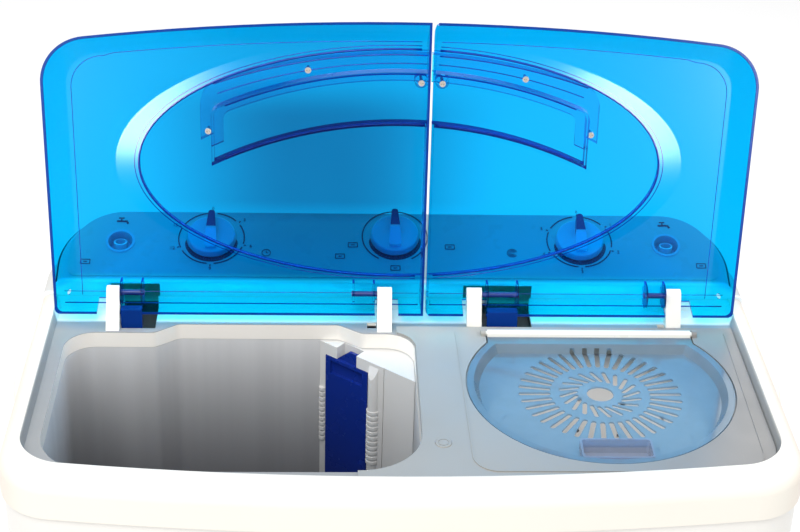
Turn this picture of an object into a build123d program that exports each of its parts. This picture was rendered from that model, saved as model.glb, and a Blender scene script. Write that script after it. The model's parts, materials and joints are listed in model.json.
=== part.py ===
from build123d import *
import os
from math import atan2, cos, radians, sin, sqrt, tan

# Twin tub washer: wash tub on the left, spinner on the right, both lids standing open.
# Millimetres. +X to the right, +Y to the back, +Z up; origin under the middle of the body on the floor.

os.makedirs("parts", exist_ok=True)

# ---------------------------------------------------------------- driving dimensions
BODY_W = 756.0              # width of the body without the side grips
FRONT_Y, REAR_Y = -235.0, 235.0
BOW_R = 2540.0              # plan radius of the bowed front
FRONT_R, REAR_R = 58.0, 60.0    # plan corner radii of the body

FOOT_H = 18.0
BASE_TOP_Z = 112.0
FRAME_BOTTOM_Z = 796.0      # joint between the cabinet and the top frame
DECK_Z = 818.0              # deck surface
RIM_Z = 832.0               # top of the rim round the deck
SHELF_Z = 806.0             # floor under the control panel
WALL = 3.0
DECK_T = 4.0

BASIN_HALF_W = 359.0        # inner edge of the rim
BASIN_FRONT_Y = -193.0
BASIN_R = 45.0
PANEL_Y = 133.0             # front wall of the control panel

OPEN_L, OPEN_R = -346.0, 18.0   # mouth of the wash tub
OPEN_FRONT, OPEN_REAR, OPEN_STEP = -170.0, 78.5, 96.0
COLLAR_H = 18.0             # moulded collar that hangs into the wash tub
TUB_WALL = 2.5
WASH_TUB_TOP_Z = 799.5
WASH_TUB_FLOOR_Z = 340.0

SPIN_X, SPIN_Y = 203.0, -26.0   # spinner axis
SPIN_TUB_R = 150.0
SPIN_TUB_TOP_Z, SPIN_TUB_FLOOR_Z = 803.0, 326.0
BASKET_R = 122.0
BASKET_TOP_Z, BASKET_FLOOR_Z = 790.0, 350.0

PLATE_TOP_Z = 821.0         # spinner deck plate
PLATE_REAR_Y = 89.0
COVER_C = (203.0, -23.4)
COVER_R = 135.0
COVER_NECK_Y = 58.0         # the round cover runs straight back from here to its hinge bar
COVER_HALF_NECK = 108.0
COVER_AXIS_Y, COVER_AXIS_Z = 74.0, 822.0
COVER_FLOOR_Z = 812.0

HINGE_Y, HINGE_Z = 111.6, 847.6     # axis of both lids
LID_OPEN = 94.06            # degrees that the lids lean back from closed
LID_LENGTH = 323.6
LID_HALF_W = 360.0
LID_DEPTH = 25.0
LID_T = 2.5
LID_BOW_R = 2712.0
LID_SPLIT_X = 29.5
LID_GAP = 2.4
LID_CORNER_R = 50.0
LID_AXIS_S, LID_AXIS_H = 18.8, 14.6  # hinge axis from the lid's rear edge and rim plane
LID_SIDE, LID_FRONT, LID_REAR, LID_SPLIT = 22.0, 26.0, 6.0, 1.0  # how far the walls slope in
PIN_R = 3.0
RUN = 0.05                  # radial running clearance

PANEL_TILT = 22.0
PANEL_FRONT_Z = 848.5

# Wash drive
WASH_X, WASH_Y = -164.0, -46.0
WASH_SHAFT_R = 6.0
MOTOR_X, MOTOR_Y = -289.0, 34.0
MOTOR_SHAFT_R = 5.0
BELT_Z0, BELT_Z1 = 196.0, 212.0
BIG_PULLEY_R, SMALL_PULLEY_R = 80.0, 24.0   # groove radii, ratio 10 to 3
BELT_T = 5.0
BELT_GAP = 0.3
CHASSIS_Z = 222.0
CHASSIS_T = 6.0

# Spin drive
SPIN_SHAFT_R = 6.0
SPIN_MOTOR_R = 62.0
SPIN_MOTOR_Z0, SPIN_MOTOR_Z1 = 90.0, 190.0
DRUM_R, DRUM_Z0, DRUM_Z1 = 60.0, 215.0, 245.0
BRAKE_PIVOT = (290.0, 40.0)

# Lint filter, set across the rear right corner of the wash tub
FILTER_LEFT = (-81.3, 96.0)     # left end of the housing's front face
FILTER_ANGLE = -39.4            # direction of that face in plan, from +X
FILTER_FACE_L = 87.5            # length of the face up to its seam with the moulded corner
FILTER_REACH = 140.0            # the corner moulding runs on past the tub's right wall
INSERT_U0, INSERT_U1 = 8.8, 66.0    # sides of the filter, measured along the face
INSERT_Z0, INSERT_Z1 = 470.0, 784.5
FILTER_TOP_Z = 799.0


# ---------------------------------------------------------------- shared profiles
def bowed_face(half, front, rear, front_r, rear_r):
    """Plan outline with a bowed front edge, straight sides and back, and rounded corners."""
    bow_r = BOW_R - (front - FRONT_Y)
    corner = front + bow_r - sqrt(bow_r**2 - half**2)
    with BuildSketch() as plan:
        with BuildLine():
            ThreePointArc((-half, corner), (0, front), (half, corner))
            Polyline((half, corner), (half, rear), (-half, rear), (-half, corner))
        make_face()
        fillet(plan.vertices().group_by(Axis.Y)[0], front_r)
        if rear_r:
            fillet(plan.vertices().group_by(Axis.Y)[-1], rear_r)
    return plan.sketch


def body_face(inset):
    """Plan outline of the body, drawn in from the outside by inset."""
    return bowed_face(
        BODY_W / 2 - inset, FRONT_Y + inset, REAR_Y - inset, FRONT_R - inset, REAR_R - inset
    )


def basin_face(grow):
    """Plan outline of the sunk deck inside the rim."""
    return bowed_face(BASIN_HALF_W + grow, BASIN_FRONT_Y - grow, PANEL_Y - 3.0, BASIN_R + grow, 0)


def tub_mouth_face(grow):
    """Plan outline of the wash tub's mouth, stepped back in the middle of its rear edge."""
    with BuildSketch() as plan:
        with BuildLine():
            Polyline(
                (OPEN_L - grow, OPEN_FRONT - grow),
                (OPEN_R + grow, OPEN_FRONT - grow),
                (OPEN_R + grow, OPEN_REAR + grow),
                (-36.0 + grow * 0.3, OPEN_REAR + grow),
                (-61.0 + grow * 0.3, OPEN_STEP + grow),
                (-231.0 - grow * 0.3, OPEN_STEP + grow),
                (-255.0 - grow * 0.3, OPEN_REAR + grow),
                (OPEN_L - grow, OPEN_REAR + grow),
                close=True,
            )
        make_face()
        fillet(plan.vertices().group_by(Axis.Y)[0], 60 + grow)
        outer = plan.vertices().filter_by_position(Axis.Y, OPEN_REAR - 20, OPEN_REAR + 10)
        fillet([outer.sort_by(Axis.X)[0], outer.sort_by(Axis.X)[-1]], 30 + grow)
        fillet(plan.vertices().filter_by_position(Axis.X, -262, -30).sort_by(Axis.Y)[-4:], 12)
    return plan.sketch


def cover_face(grow):
    """Round spinner cover that runs out to a straight hinge edge at the back."""
    neck = COVER_HALF_NECK + grow
    rear = COVER_AXIS_Y + 1.0 + grow * 2.6
    with BuildSketch() as plan:
        with Locations(COVER_C):
            Circle(COVER_R + grow)
        with Locations((COVER_C[0], COVER_NECK_Y + 200)):
            Rectangle(600, 400, mode=Mode.SUBTRACT)
        with Locations((COVER_C[0], (COVER_NECK_Y - 10 + rear) / 2)):
            Rectangle(2 * neck, rear - COVER_NECK_Y + 10)
    return plan.sketch


def slotted_ring(count, inner, outer, width, swirl):
    """A ring of round-ended slots, each turned by swirl degrees from the radius."""
    with BuildSketch() as ring:
        with PolarLocations((inner + outer) / 2, count):
            SlotOverall(outer - inner, width, rotation=swirl)
    return ring.sketch


# ---------------------------------------------------------------- base
FOOT_SPOTS = [(-310, -160), (310, -160), (-310, 175), (310, 175)]
DRAIN_X, DRAIN_Z = 10.0, 75.0
DRAIN_R = 14.0
RECESS_HALF, RECESS_WALL_Y = 32.0, 198.0

with BuildPart() as feet:
    with BuildSketch():
        with Locations(FOOT_SPOTS):
            Circle(22)
    extrude(amount=FOOT_H, taper=4)

with BuildPart() as base_frame:
    with BuildSketch(Plane.XY.offset(FOOT_H)):
        add(body_face(6))
    extrude(amount=BASE_TOP_Z - FOOT_H)
    fillet(base_frame.faces().sort_by(Axis.Z)[0].edges(), 5)
    with BuildSketch(Plane.XY.offset(FOOT_H + 5)):
        add(body_face(10))
    extrude(amount=BASE_TOP_Z, mode=Mode.SUBTRACT)
    # recess in the back wall round the drain spigot
    with BuildSketch(Plane.XZ.offset(-REAR_Y)):
        with Locations((DRAIN_X, DRAIN_Z)):
            Rectangle(2 * RECESS_HALF, 2 * RECESS_HALF)
    extrude(amount=REAR_Y - RECESS_WALL_Y, mode=Mode.SUBTRACT)
    with BuildSketch(Plane.XZ.offset(-REAR_Y + 6)):
        with Locations((DRAIN_X, DRAIN_Z)):
            Rectangle(2 * RECESS_HALF + 6, 2 * RECESS_HALF + 6)
            Rectangle(2 * RECESS_HALF, 2 * RECESS_HALF, mode=Mode.SUBTRACT)
    extrude(amount=REAR_Y - 6 - RECESS_WALL_Y)
    with BuildSketch(Plane.XZ.offset(-RECESS_WALL_Y - 3)):
        with Locations((DRAIN_X, DRAIN_Z)):
            Rectangle(2 * RECESS_HALF + 6, 2 * RECESS_HALF + 6)
            Circle(DRAIN_R + 0.5, mode=Mode.SUBTRACT)
    extrude(amount=3)

# ---------------------------------------------------------------- cabinet and back cover
COVER_HALF_W, COVER_Z0, COVER_Z1 = 290.0, 150.0, 620.0
REAR_SCREWS = [(x, z) for z in (COVER_Z0 + 14, (COVER_Z0 + COVER_Z1) / 2, COVER_Z1 - 14) for x in (-276, 276)]
CABINET_IN = 3.0            # the cabinet stands this far inside the top frame's outline

with BuildPart() as front_relief:
    with BuildSketch(Plane.XY.offset(BASE_TOP_Z)):
        add(body_face(CABINET_IN - 1))
        add(body_face(CABINET_IN + 1.4), mode=Mode.SUBTRACT)
    extrude(amount=FRAME_BOTTOM_Z - BASE_TOP_Z)
    with BuildSketch(Plane.XZ.offset(-FRONT_Y - 60)):
        with Locations((-165, 430), (203, 430)):
            RectangleRounded(250, 520, 45)
            RectangleRounded(242, 512, 41, mode=Mode.SUBTRACT)
    extrude(amount=100, mode=Mode.INTERSECT)

with BuildPart() as cabinet:
    with BuildSketch(Plane.XY.offset(BASE_TOP_Z + 0.3)):
        add(body_face(CABINET_IN))
        add(body_face(CABINET_IN + WALL), mode=Mode.SUBTRACT)
    extrude(amount=FRAME_BOTTOM_Z - BASE_TOP_Z - 0.6)
    with BuildSketch(Plane.XZ.offset(-REAR_Y)):
        with Locations((0, (COVER_Z0 + COVER_Z1) / 2)):
            Rectangle(2 * COVER_HALF_W - 48, COVER_Z1 - COVER_Z0 - 48)
        with Locations(REAR_SCREWS):
            Circle(1.6)
    extrude(amount=20, mode=Mode.SUBTRACT)
    add(front_relief.part, mode=Mode.SUBTRACT)

with BuildPart() as rear_cover:
    with BuildSketch(Plane.XZ.offset(-(REAR_Y - CABINET_IN))):
        with Locations((0, (COVER_Z0 + COVER_Z1) / 2)):
            RectangleRounded(2 * COVER_HALF_W, COVER_Z1 - COVER_Z0, 12)
        with Locations(REAR_SCREWS):
            Circle(2.2, mode=Mode.SUBTRACT)
        for side in (-1, 1):
            with Locations((side * 150, COVER_Z0 + 110)):
                with GridLocations(0, 14, 1, 9):
                    SlotOverall(150, 6, mode=Mode.SUBTRACT)
    extrude(amount=-1.8)

with BuildPart() as rear_cover_screws:
    with BuildSketch(Plane.XZ.offset(-(REAR_Y - CABINET_IN + 1.8))):
        with Locations(REAR_SCREWS):
            Circle(4)
    extrude(amount=-1.2)
    with BuildSketch(Plane.XZ.offset(-(REAR_Y - CABINET_IN + 1.8))):
        with Locations(REAR_SCREWS):
            Circle(1.6)
    extrude(amount=9)

# ---------------------------------------------------------------- top frame
# Pockets that let each lid's stop arm swing through the deck: x0, x1, front y
ARM_POCKETS = [(-291.0, -254.5, 87.0), (92.0, 145.0, 90.5)]
POCKET_REAR_Y = 150.0
POCKET_FLOOR_Z = 806.5
EAR_SLOTS = [(-31.0, -21.2), (280.0, 287.6)]
LINER_T = 1.5
PULL_ROD_X, PULL_ROD_Y = 20.0, 168.0
SPIN_HOLE_R = 142.0

with BuildPart() as top_frame:
    with BuildSketch(Plane.XY.offset(FRAME_BOTTOM_Z)):
        add(body_face(0))
    extrude(amount=RIM_Z - FRAME_BOTTOM_Z)
    fillet(top_frame.faces().sort_by(Axis.Z)[-1].edges(), 9)
    # the sunk deck, and the lower shelf that carries the control panel
    with BuildSketch(Plane.XY.offset(DECK_Z)):
        add(basin_face(0))
    extrude(amount=RIM_Z, mode=Mode.SUBTRACT, taper=-12)
    with BuildSketch(Plane.XY.offset(SHELF_Z)):
        with Locations((0, PANEL_Y - 0.2 + 100)):
            Rectangle(2 * BODY_W, 200)
    extrude(amount=RIM_Z, mode=Mode.SUBTRACT)
    # hollow underside: below the shelf, below the deck and inside the rim
    with BuildSketch(Plane.XY.offset(FRAME_BOTTOM_Z)):
        add(body_face(WALL))
    extrude(amount=SHELF_Z - DECK_T - FRAME_BOTTOM_Z, mode=Mode.SUBTRACT)
    with BuildSketch(Plane.XY.offset(FRAME_BOTTOM_Z)):
        add(bowed_face(BODY_W / 2 - WALL, FRONT_Y + WALL, PANEL_Y - 4, FRONT_R - WALL, 0))
    extrude(amount=DECK_Z - DECK_T - FRAME_BOTTOM_Z, mode=Mode.SUBTRACT)
    with BuildSketch(Plane.XY.offset(DECK_Z - DECK_T)):
        add(bowed_face(BODY_W / 2 - 7, FRONT_Y + 7, PANEL_Y - 6, FRONT_R - 7, 0))
        add(basin_face(5), mode=Mode.SUBTRACT)
    extrude(amount=RIM_Z - 4 - DECK_Z + DECK_T, mode=Mode.SUBTRACT)
    # wash tub mouth with its collar
    with BuildSketch(Plane.XY.offset(DECK_Z - COLLAR_H)):
        add(tub_mouth_face(TUB_WALL))
    extrude(amount=COLLAR_H)
    with BuildSketch(Plane.XY.offset(DECK_Z - COLLAR_H)):
        add(tub_mouth_face(0))
    extrude(amount=RIM_Z, mode=Mode.SUBTRACT)
    # spinner mouth
    with BuildSketch(Plane.XY.offset(FRAME_BOTTOM_Z)):
        with Locations(COVER_C):
            Circle(SPIN_HOLE_R)
        with Locations((COVER_C[0], COVER_NECK_Y + 200)):
            Rectangle(600, 400, mode=Mode.SUBTRACT)
        add(cover_face(4))
    extrude(amount=RIM_Z, mode=Mode.SUBTRACT)
    # pockets and slots for the lid hinges, hole for the pull rod
    for x0, x1, y0 in ARM_POCKETS:
        with BuildSketch(Plane.XY.offset(SHELF_Z - 20)):
            with Locations(((x0 + x1) / 2, (y0 + POCKET_REAR_Y) / 2)):
                Rectangle(x1 - x0, POCKET_REAR_Y - y0)
        extrude(amount=RIM_Z, mode=Mode.SUBTRACT)
        with BuildSketch(Plane.XY.offset(SHELF_Z - 20)):
            with Locations(((x0 + x1) / 2, (y0 + POCKET_REAR_Y) / 2)):
                Rectangle(x1 - x0 + 2 * LINER_T + 0.4, POCKET_REAR_Y - y0 + 2 * LINER_T + 0.4)
        extrude(amount=DECK_Z - DECK_T - SHELF_Z + 20, mode=Mode.SUBTRACT)
    for x0, x1 in EAR_SLOTS:
        with BuildSketch(Plane.XY.offset(SHELF_Z)):
            with Locations(((x0 + x1) / 2, 95.5)):
                Rectangle(x1 - x0, 11)
        extrude(amount=RIM_Z, mode=Mode.SUBTRACT)
    with BuildSketch(Plane.XY.offset(FRAME_BOTTOM_Z)):
        with Locations((PULL_ROD_X, PULL_ROD_Y)):
            Circle(7)
    extrude(amount=20, mode=Mode.SUBTRACT)

with BuildPart() as hinge_pocket_liners:
    for x0, x1, y0 in ARM_POCKETS:
        with BuildSketch(Plane.XY.offset(POCKET_FLOOR_Z - LINER_T)):
            with Locations(((x0 + x1) / 2, (y0 + POCKET_REAR_Y) / 2)):
                Rectangle(x1 - x0 + 2 * LINER_T, POCKET_REAR_Y - y0 + 2 * LINER_T)
        extrude(amount=DECK_Z - DECK_T - 0.2 - POCKET_FLOOR_Z + LINER_T)
        with BuildSketch(Plane.XY.offset(POCKET_FLOOR_Z)):
            with Locations(((x0 + x1) / 2, (y0 + POCKET_REAR_Y) / 2)):
                Rectangle(x1 - x0, POCKET_REAR_Y - y0)
        extrude(amount=RIM_Z, mode=Mode.SUBTRACT)

# Carrying grips on both sides: a bulged skin, open underneath for the fingers
GRIP_Y, GRIP_HALF_L, GRIP_BULGE = 1.5, 58.0, 7.8
GRIP_Z0, GRIP_Z1 = 782.0, 822.0
GRIP_T = 2.5


def grip_face(side, x_in, x_end, x_peak, half_l):
    """Plan outline of a grip, from x_in at the body to a shallow arc, measured out from the body."""
    x0 = BODY_W / 2 + 0.2
    with BuildSketch() as plan:
        with BuildLine():
            low, high = GRIP_Y - half_l, GRIP_Y + half_l
            Line((side * (x0 + x_in), low), (side * (x0 + x_end), low))
            ThreePointArc(
                (side * (x0 + x_end), low), (side * (x0 + x_peak), GRIP_Y), (side * (x0 + x_end), high)
            )
            Line((side * (x0 + x_end), high), (side * (x0 + x_in), high))
            Line((side * (x0 + x_in), high), (side * (x0 + x_in), low))
        make_face()
    return plan.sketch


with BuildPart() as side_grips:
    for side in (-1, 1):
        with BuildSketch(Plane.XY.offset(GRIP_Z0)):
            add(grip_face(side, 0, 1.4, GRIP_BULGE, GRIP_HALF_L))
        extrude(amount=GRIP_Z1 - GRIP_Z0)
        with BuildSketch(Plane.XY.offset(GRIP_Z0)):
            add(grip_face(side, -1, 0.6, GRIP_BULGE - GRIP_T, GRIP_HALF_L - 5))
        extrude(amount=GRIP_Z1 - GRIP_Z0 - 6, mode=Mode.SUBTRACT)
    arcs = side_grips.edges().filter_by(GeomType.CIRCLE)
    top_arcs = arcs.filter_by_position(Axis.Z, GRIP_Z1 - 1, GRIP_Z1 + 1)
    chamfer(top_arcs, 1.2)

# ---------------------------------------------------------------- spinner deck plate
FUNNEL_Z = 794.0
LEDGE_Z = 817.3             # the closed cover rests here
BOSS_W = 5.0
CAP_SPOT = (38.5, -126.0)

with BuildPart() as plate_rib:
    # raised line that frames the spinner half
    with BuildSketch(Plane.XY.offset(PLATE_TOP_Z - 0.5)):
        with BuildLine():
            FilletPolyline((62, 76), (66, -172), (344, -172), (348, 76), radius=[24, 34])
        trace(line_width=1.4)
    extrude(amount=1.3)

with BuildPart() as spin_deck_plate:
    with BuildSketch(Plane.XY.offset(DECK_Z)):
        add(basin_face(-1.0))
        with Locations((0, PLATE_REAR_Y + 200)):
            Rectangle(2 * BODY_W, 400, mode=Mode.SUBTRACT)
        with Locations((-44 - 400, 0)):
            Rectangle(800, 800, mode=Mode.SUBTRACT)
        add(tub_mouth_face(1.0), mode=Mode.SUBTRACT)
        with Locations((-100, 50)):
            Rectangle(200, 300, mode=Mode.SUBTRACT)
    extrude(amount=PLATE_TOP_Z - DECK_Z)
    # funnel that leads into the spinner
    with BuildSketch(Plane.XY.offset(FUNNEL_Z)):
        add(cover_face(1.5 + 2.0))
    extrude(amount=DECK_Z - FUNNEL_Z)
    with BuildSketch(Plane.XY.offset(FUNNEL_Z)):
        add(cover_face(1.5))
    extrude(amount=PLATE_TOP_Z, mode=Mode.SUBTRACT)
    # its lower end stands inside the outer tub
    with BuildSketch(Plane.XY.offset(FUNNEL_Z)):
        with Locations(COVER_C):
            Rectangle(500, 400)
        with Locations((SPIN_X, SPIN_Y)):
            Circle(SPIN_TUB_R - TUB_WALL - 1, mode=Mode.SUBTRACT)
    extrude(amount=SPIN_TUB_TOP_Z + 0.4 - FUNNEL_Z, mode=Mode.SUBTRACT)
    # ledge under the rim of the cover
    with BuildSketch(Plane.XY.offset(LEDGE_Z - 2)):
        with Locations(COVER_C):
            Circle(COVER_R + 2.0)
            Circle(COVER_R - 5.0, mode=Mode.SUBTRACT)
        with Locations((COVER_C[0], 50 + 200)):
            Rectangle(600, 400, mode=Mode.SUBTRACT)
    extrude(amount=2)
    # bosses that carry the ends of the cover's hinge bar
    for side in (-1, 1):
        boss_x = COVER_C[0] + side * (COVER_HALF_NECK + 1.5 + BOSS_W / 2)
        with BuildSketch(Plane.YZ.offset(boss_x - BOSS_W / 2)):
            with Locations((COVER_AXIS_Y, (PLATE_TOP_Z - 3 + COVER_AXIS_Z) / 2)):
                Rectangle(9, COVER_AXIS_Z - PLATE_TOP_Z + 3)
            with Locations((COVER_AXIS_Y, COVER_AXIS_Z)):
                Circle(4)
                Circle(2.5 + RUN, mode=Mode.SUBTRACT)
        extrude(amount=BOSS_W)
        with BuildSketch(Plane.YZ.offset(boss_x - BOSS_W / 2)):
            with Locations((COVER_AXIS_Y, COVER_AXIS_Z)):
                Circle(2.5 + RUN)
        extrude(amount=BOSS_W, mode=Mode.SUBTRACT)
    with BuildSketch(Plane.XY.offset(PLATE_TOP_Z - 1.5)):
        with Locations(CAP_SPOT):
            Circle(8.2)
    extrude(amount=2, mode=Mode.SUBTRACT)
    add(plate_rib.part)

with BuildPart() as deck_screw_cap:
    with BuildSketch(Plane.XY.offset(PLATE_TOP_Z - 1.4)):
        with Locations(CAP_SPOT):
            Circle(8)
    extrude(amount=2)
    fillet(deck_screw_cap.faces().sort_by(Axis.Z)[-1].edges(), 0.8)
    with BuildSketch(Plane.XY.offset(PLATE_TOP_Z + 0.1)):
        with Locations(CAP_SPOT):
            Circle(5.4)
            Circle(4.6, mode=Mode.SUBTRACT)
    extrude(amount=1, mode=Mode.SUBTRACT)

# ---------------------------------------------------------------- spinner cover
with BuildPart() as cover_dish:
    # sunk floor of the cover, tapering down inside the rim
    with BuildSketch(Plane.XY.offset(PLATE_TOP_Z - 0.5)):
        with Locations(COVER_C):
            Circle(COVER_R - 7)
        with Locations((COVER_C[0], COVER_NECK_Y - 2 + 200)):
            Rectangle(600, 400, mode=Mode.SUBTRACT)
    extrude(amount=-(PLATE_TOP_Z - 0.5 - COVER_FLOOR_Z), taper=35)

COVER_T = 2.0
GRIP_SPOT = (205.0, -133.0)     # finger cup in the front of the cover
GRIP_W, GRIP_L, GRIP_DROP = 66.0, 28.0, 9.0

with BuildPart() as spin_cover:
    with BuildSketch(Plane.XY.offset(LEDGE_Z + 0.2)):
        add(cover_face(0))
    extrude(amount=PLATE_TOP_Z - 0.5 - LEDGE_Z - 0.2)
    with BuildSketch(Plane.XY.offset(PLATE_TOP_Z - 1.5)):
        with Locations(COVER_C):
            Circle(COVER_R - 5.6)
        with Locations((COVER_C[0], COVER_NECK_Y + 200)):
            Rectangle(600, 400, mode=Mode.SUBTRACT)
    extrude(amount=-(PLATE_TOP_Z - 1.5 - COVER_FLOOR_Z + COVER_T), taper=34)
    add(cover_dish.part, mode=Mode.SUBTRACT)
    # seat for the hinge bar
    with BuildSketch(Plane.XY.offset(COVER_AXIS_Z - 2.6)):
        with Locations((COVER_C[0], COVER_AXIS_Y - 5 + 10)):
            Rectangle(300, 20)
    extrude(amount=10, mode=Mode.SUBTRACT)
    # hole that the finger cup is welded into
    with BuildSketch(Plane.XY.offset(COVER_FLOOR_Z - GRIP_DROP)):
        with Locations(GRIP_SPOT):
            RectangleRounded(GRIP_W + 2 * COVER_T + 0.2, GRIP_L + 2 * COVER_T + 0.2, 4)
    extrude(amount=30, mode=Mode.SUBTRACT)
    # drain and air slots
    with BuildSketch(Plane.XY.offset(COVER_FLOOR_Z - 5)):
        with Locations((SPIN_X, SPIN_Y)):
            Circle(13.5)
            add(slotted_ring(38, 50, 83, 5.2, 0))
            add(slotted_ring(20, 21, 43, 4.6, 28))
    extrude(amount=10, mode=Mode.SUBTRACT)

with BuildPart() as spin_cover_cup:
    with BuildSketch(Plane.XY.offset(COVER_FLOOR_Z - GRIP_DROP)):
        with Locations(GRIP_SPOT):
            RectangleRounded(GRIP_W + 2 * COVER_T, GRIP_L + 2 * COVER_T, 4)
    extrude(amount=PLATE_TOP_Z - 0.2 - COVER_FLOOR_Z + GRIP_DROP)
    with BuildSketch(Plane.XY.offset(COVER_FLOOR_Z - GRIP_DROP + COVER_T)):
        with Locations(GRIP_SPOT):
            RectangleRounded(GRIP_W, GRIP_L, 3)
    extrude(amount=30, mode=Mode.SUBTRACT)

BAR_HALF_L = COVER_HALF_NECK - 0.3
with BuildPart() as spin_cover_hinge_bar:
    with BuildSketch(Plane.YZ.offset(COVER_C[0] - BAR_HALF_L)):
        with Locations((COVER_AXIS_Y, COVER_AXIS_Z + 0.6)):
            SlotOverall(9, 5.4)
        with Locations((COVER_AXIS_Y - 1.5, PLATE_TOP_Z + 0.2)):
            Rectangle(7, 1.4)
    extrude(amount=2 * BAR_HALF_L)
    with BuildSketch(Plane.YZ.offset(COVER_C[0] - BAR_HALF_L - 5.5)):
        with Locations((COVER_AXIS_Y, COVER_AXIS_Z)):
            Circle(2.5)
    extrude(amount=2 * BAR_HALF_L + 11)

# ---------------------------------------------------------------- control panel
PANEL = Plane(
    origin=(0, PANEL_Y, PANEL_FRONT_Z),
    x_dir=(1, 0, 0),
    z_dir=(0, -sin(radians(PANEL_TILT)), cos(radians(PANEL_TILT))),
)
KNOBS = {"wash_timer": (-200.0, 60.0), "drain_selector": (0.0, 64.0), "spin_timer": (203.0, 59.0)}
INLETS = {"wash_water_inlet": (-298.5, 55.0), "spin_water_inlet": (298.5, 55.0)}
PANEL_HALF_W, PANEL_REAR_R = 367.0, 76.0    # the sloping part stands in from the plinth below it
PANEL_OUT = Axis(PANEL.origin, PANEL.z_dir)
FASCIA_T = 1.0
PANEL_WALL = 2.8
STEM_R = 3.5
CUP_DEPTH = 14.0
TUBE_R, TUBE_BORE_R, TUBE_L = 7.4, 5.5, 42.0    # upright tube inside each inlet cup
GRIP_H, GRIP_FAR = 12.0, 24.0   # height of a knob's pointer grip and reach of its narrow end
ARM_OPENINGS = [(-305.0, -252.7), (73.0, 146.8)]
ARM_OPENING_TOP = 846.0


def panel_block(inset):
    """Wedge of the control panel, drawn in from the outside by inset."""
    front = PANEL_Y + inset
    rear = REAR_Y - inset
    slope = tan(radians(PANEL_TILT))
    drop = inset / cos(radians(PANEL_TILT))
    with BuildPart() as block:
        with BuildSketch(Plane.YZ.offset(-BODY_W / 2 + inset)):
            with BuildLine():
                Polyline(
                    (front, SHELF_Z + 0.2),
                    (front, PANEL_FRONT_Z + inset * slope - drop),
                    (rear, PANEL_FRONT_Z + (rear - PANEL_Y) * slope - drop),
                    (rear, SHELF_Z + 0.2),
                    close=True,
                )
            make_face()
        extrude(amount=BODY_W - 2 * inset)
        with BuildSketch(Plane.XY.offset(SHELF_Z - 50)):
            add(
                bowed_face(
                    PANEL_HALF_W - inset, FRONT_Y + inset, rear, FRONT_R - inset, PANEL_REAR_R - inset
                )
            )
        extrude(amount=200, mode=Mode.INTERSECT)
        if not inset:
            sloped = block.faces().sort_by(Axis.Z)[-1]
            rim = [e for e in sloped.edges() if e.center().Y > PANEL_Y + 2]
            fillet(rim, 13)
    with BuildPart() as plinth:
        with BuildSketch(Plane.XY.offset(SHELF_Z + 0.2)):
            add(body_face(inset))
            with Locations((0, front - 300)):
                Rectangle(2 * BODY_W, 600, mode=Mode.SUBTRACT)
        extrude(amount=RIM_Z + 2 - inset - SHELF_Z - 0.2)
        if not inset:
            top_edges = plinth.faces().sort_by(Axis.Z)[-1].edges()
            fillet([e for e in top_edges if e.center().Y > PANEL_Y + 2], 5)
        add(block.part)
    return plinth.part


panel_outer = panel_block(0)
panel_inner = panel_block(PANEL_WALL)

with BuildPart() as control_panel:
    add(panel_outer)
    add(panel_inner, mode=Mode.SUBTRACT)
    brow = control_panel.edges().filter_by(Axis.X).filter_by_position(Axis.Z, 845, 850).sort_by(Axis.Y)[0]
    fillet(brow, 2.4)
    with BuildSketch(PANEL.offset(-10)):
        with Locations(*KNOBS.values()):
            Circle(6)
        with Locations(*INLETS.values()):
            Circle(15)
    extrude(amount=20, mode=Mode.SUBTRACT)
    # openings that the lids' stop arms swing into
    for x0, x1 in ARM_OPENINGS:
        with BuildSketch(Plane.XZ.offset(-PANEL_Y - 8)):
            with Locations(((x0 + x1) / 2, (SHELF_Z + ARM_OPENING_TOP) / 2)):
                Rectangle(x1 - x0, ARM_OPENING_TOP - SHELF_Z)
        extrude(amount=16, mode=Mode.SUBTRACT)

with BuildPart() as fascia:
    with BuildSketch(PANEL.offset(0.05)) as fascia_plan:
        with Locations((0, 52)):
            Rectangle(2 * (PANEL_HALF_W - 15), 90)
        fillet(fascia_plan.vertices().group_by(Axis.Y)[-1], 58)
        fillet(fascia_plan.vertices().group_by(Axis.Y)[0], 10)
        with Locations(*KNOBS.values()):
            Circle(6, mode=Mode.SUBTRACT)
        with Locations(*INLETS.values()):
            Circle(15, mode=Mode.SUBTRACT)
    extrude(amount=FASCIA_T)


def knob(spot):
    """Round knob with a wedge-shaped pointer grip and a stem that goes down into its switch."""
    x, y = spot
    disc_top = FASCIA_T + 7.6
    with BuildPart() as piece:
        with BuildSketch(PANEL.offset(FASCIA_T + 0.6)):
            with Locations(spot):
                Circle(26.5)
        extrude(amount=7, taper=8)
        fillet(piece.faces().sort_by(PANEL_OUT)[-1].edges(), 1.5)
        with BuildSketch(PANEL.offset(disc_top)) as grip:
            with BuildLine():
                far, near = y + GRIP_FAR, y - 20
                Polyline((x - 3.3, far), (x + 3.3, far), (x + 7, near), (x - 7, near), close=True)
            make_face()
            fillet(grip.vertices(), 3)
        extrude(amount=GRIP_H)
        # the near half slopes down towards the user
        with BuildSketch(Plane(PANEL.origin, x_dir=PANEL.y_dir, z_dir=PANEL.x_dir).offset(x - 20)):
            with BuildLine():
                Polyline(
                    (y + 1, disc_top + GRIP_H + 1),
                    (y - 24, disc_top + 2),
                    (y - 24, disc_top + GRIP_H + 1),
                    close=True,
                )
            make_face()
        extrude(amount=40, mode=Mode.SUBTRACT)
        with BuildSketch(PANEL.offset(-14)):
            with Locations(spot):
                Circle(STEM_R)
        extrude(amount=16)
    return piece.part


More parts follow.
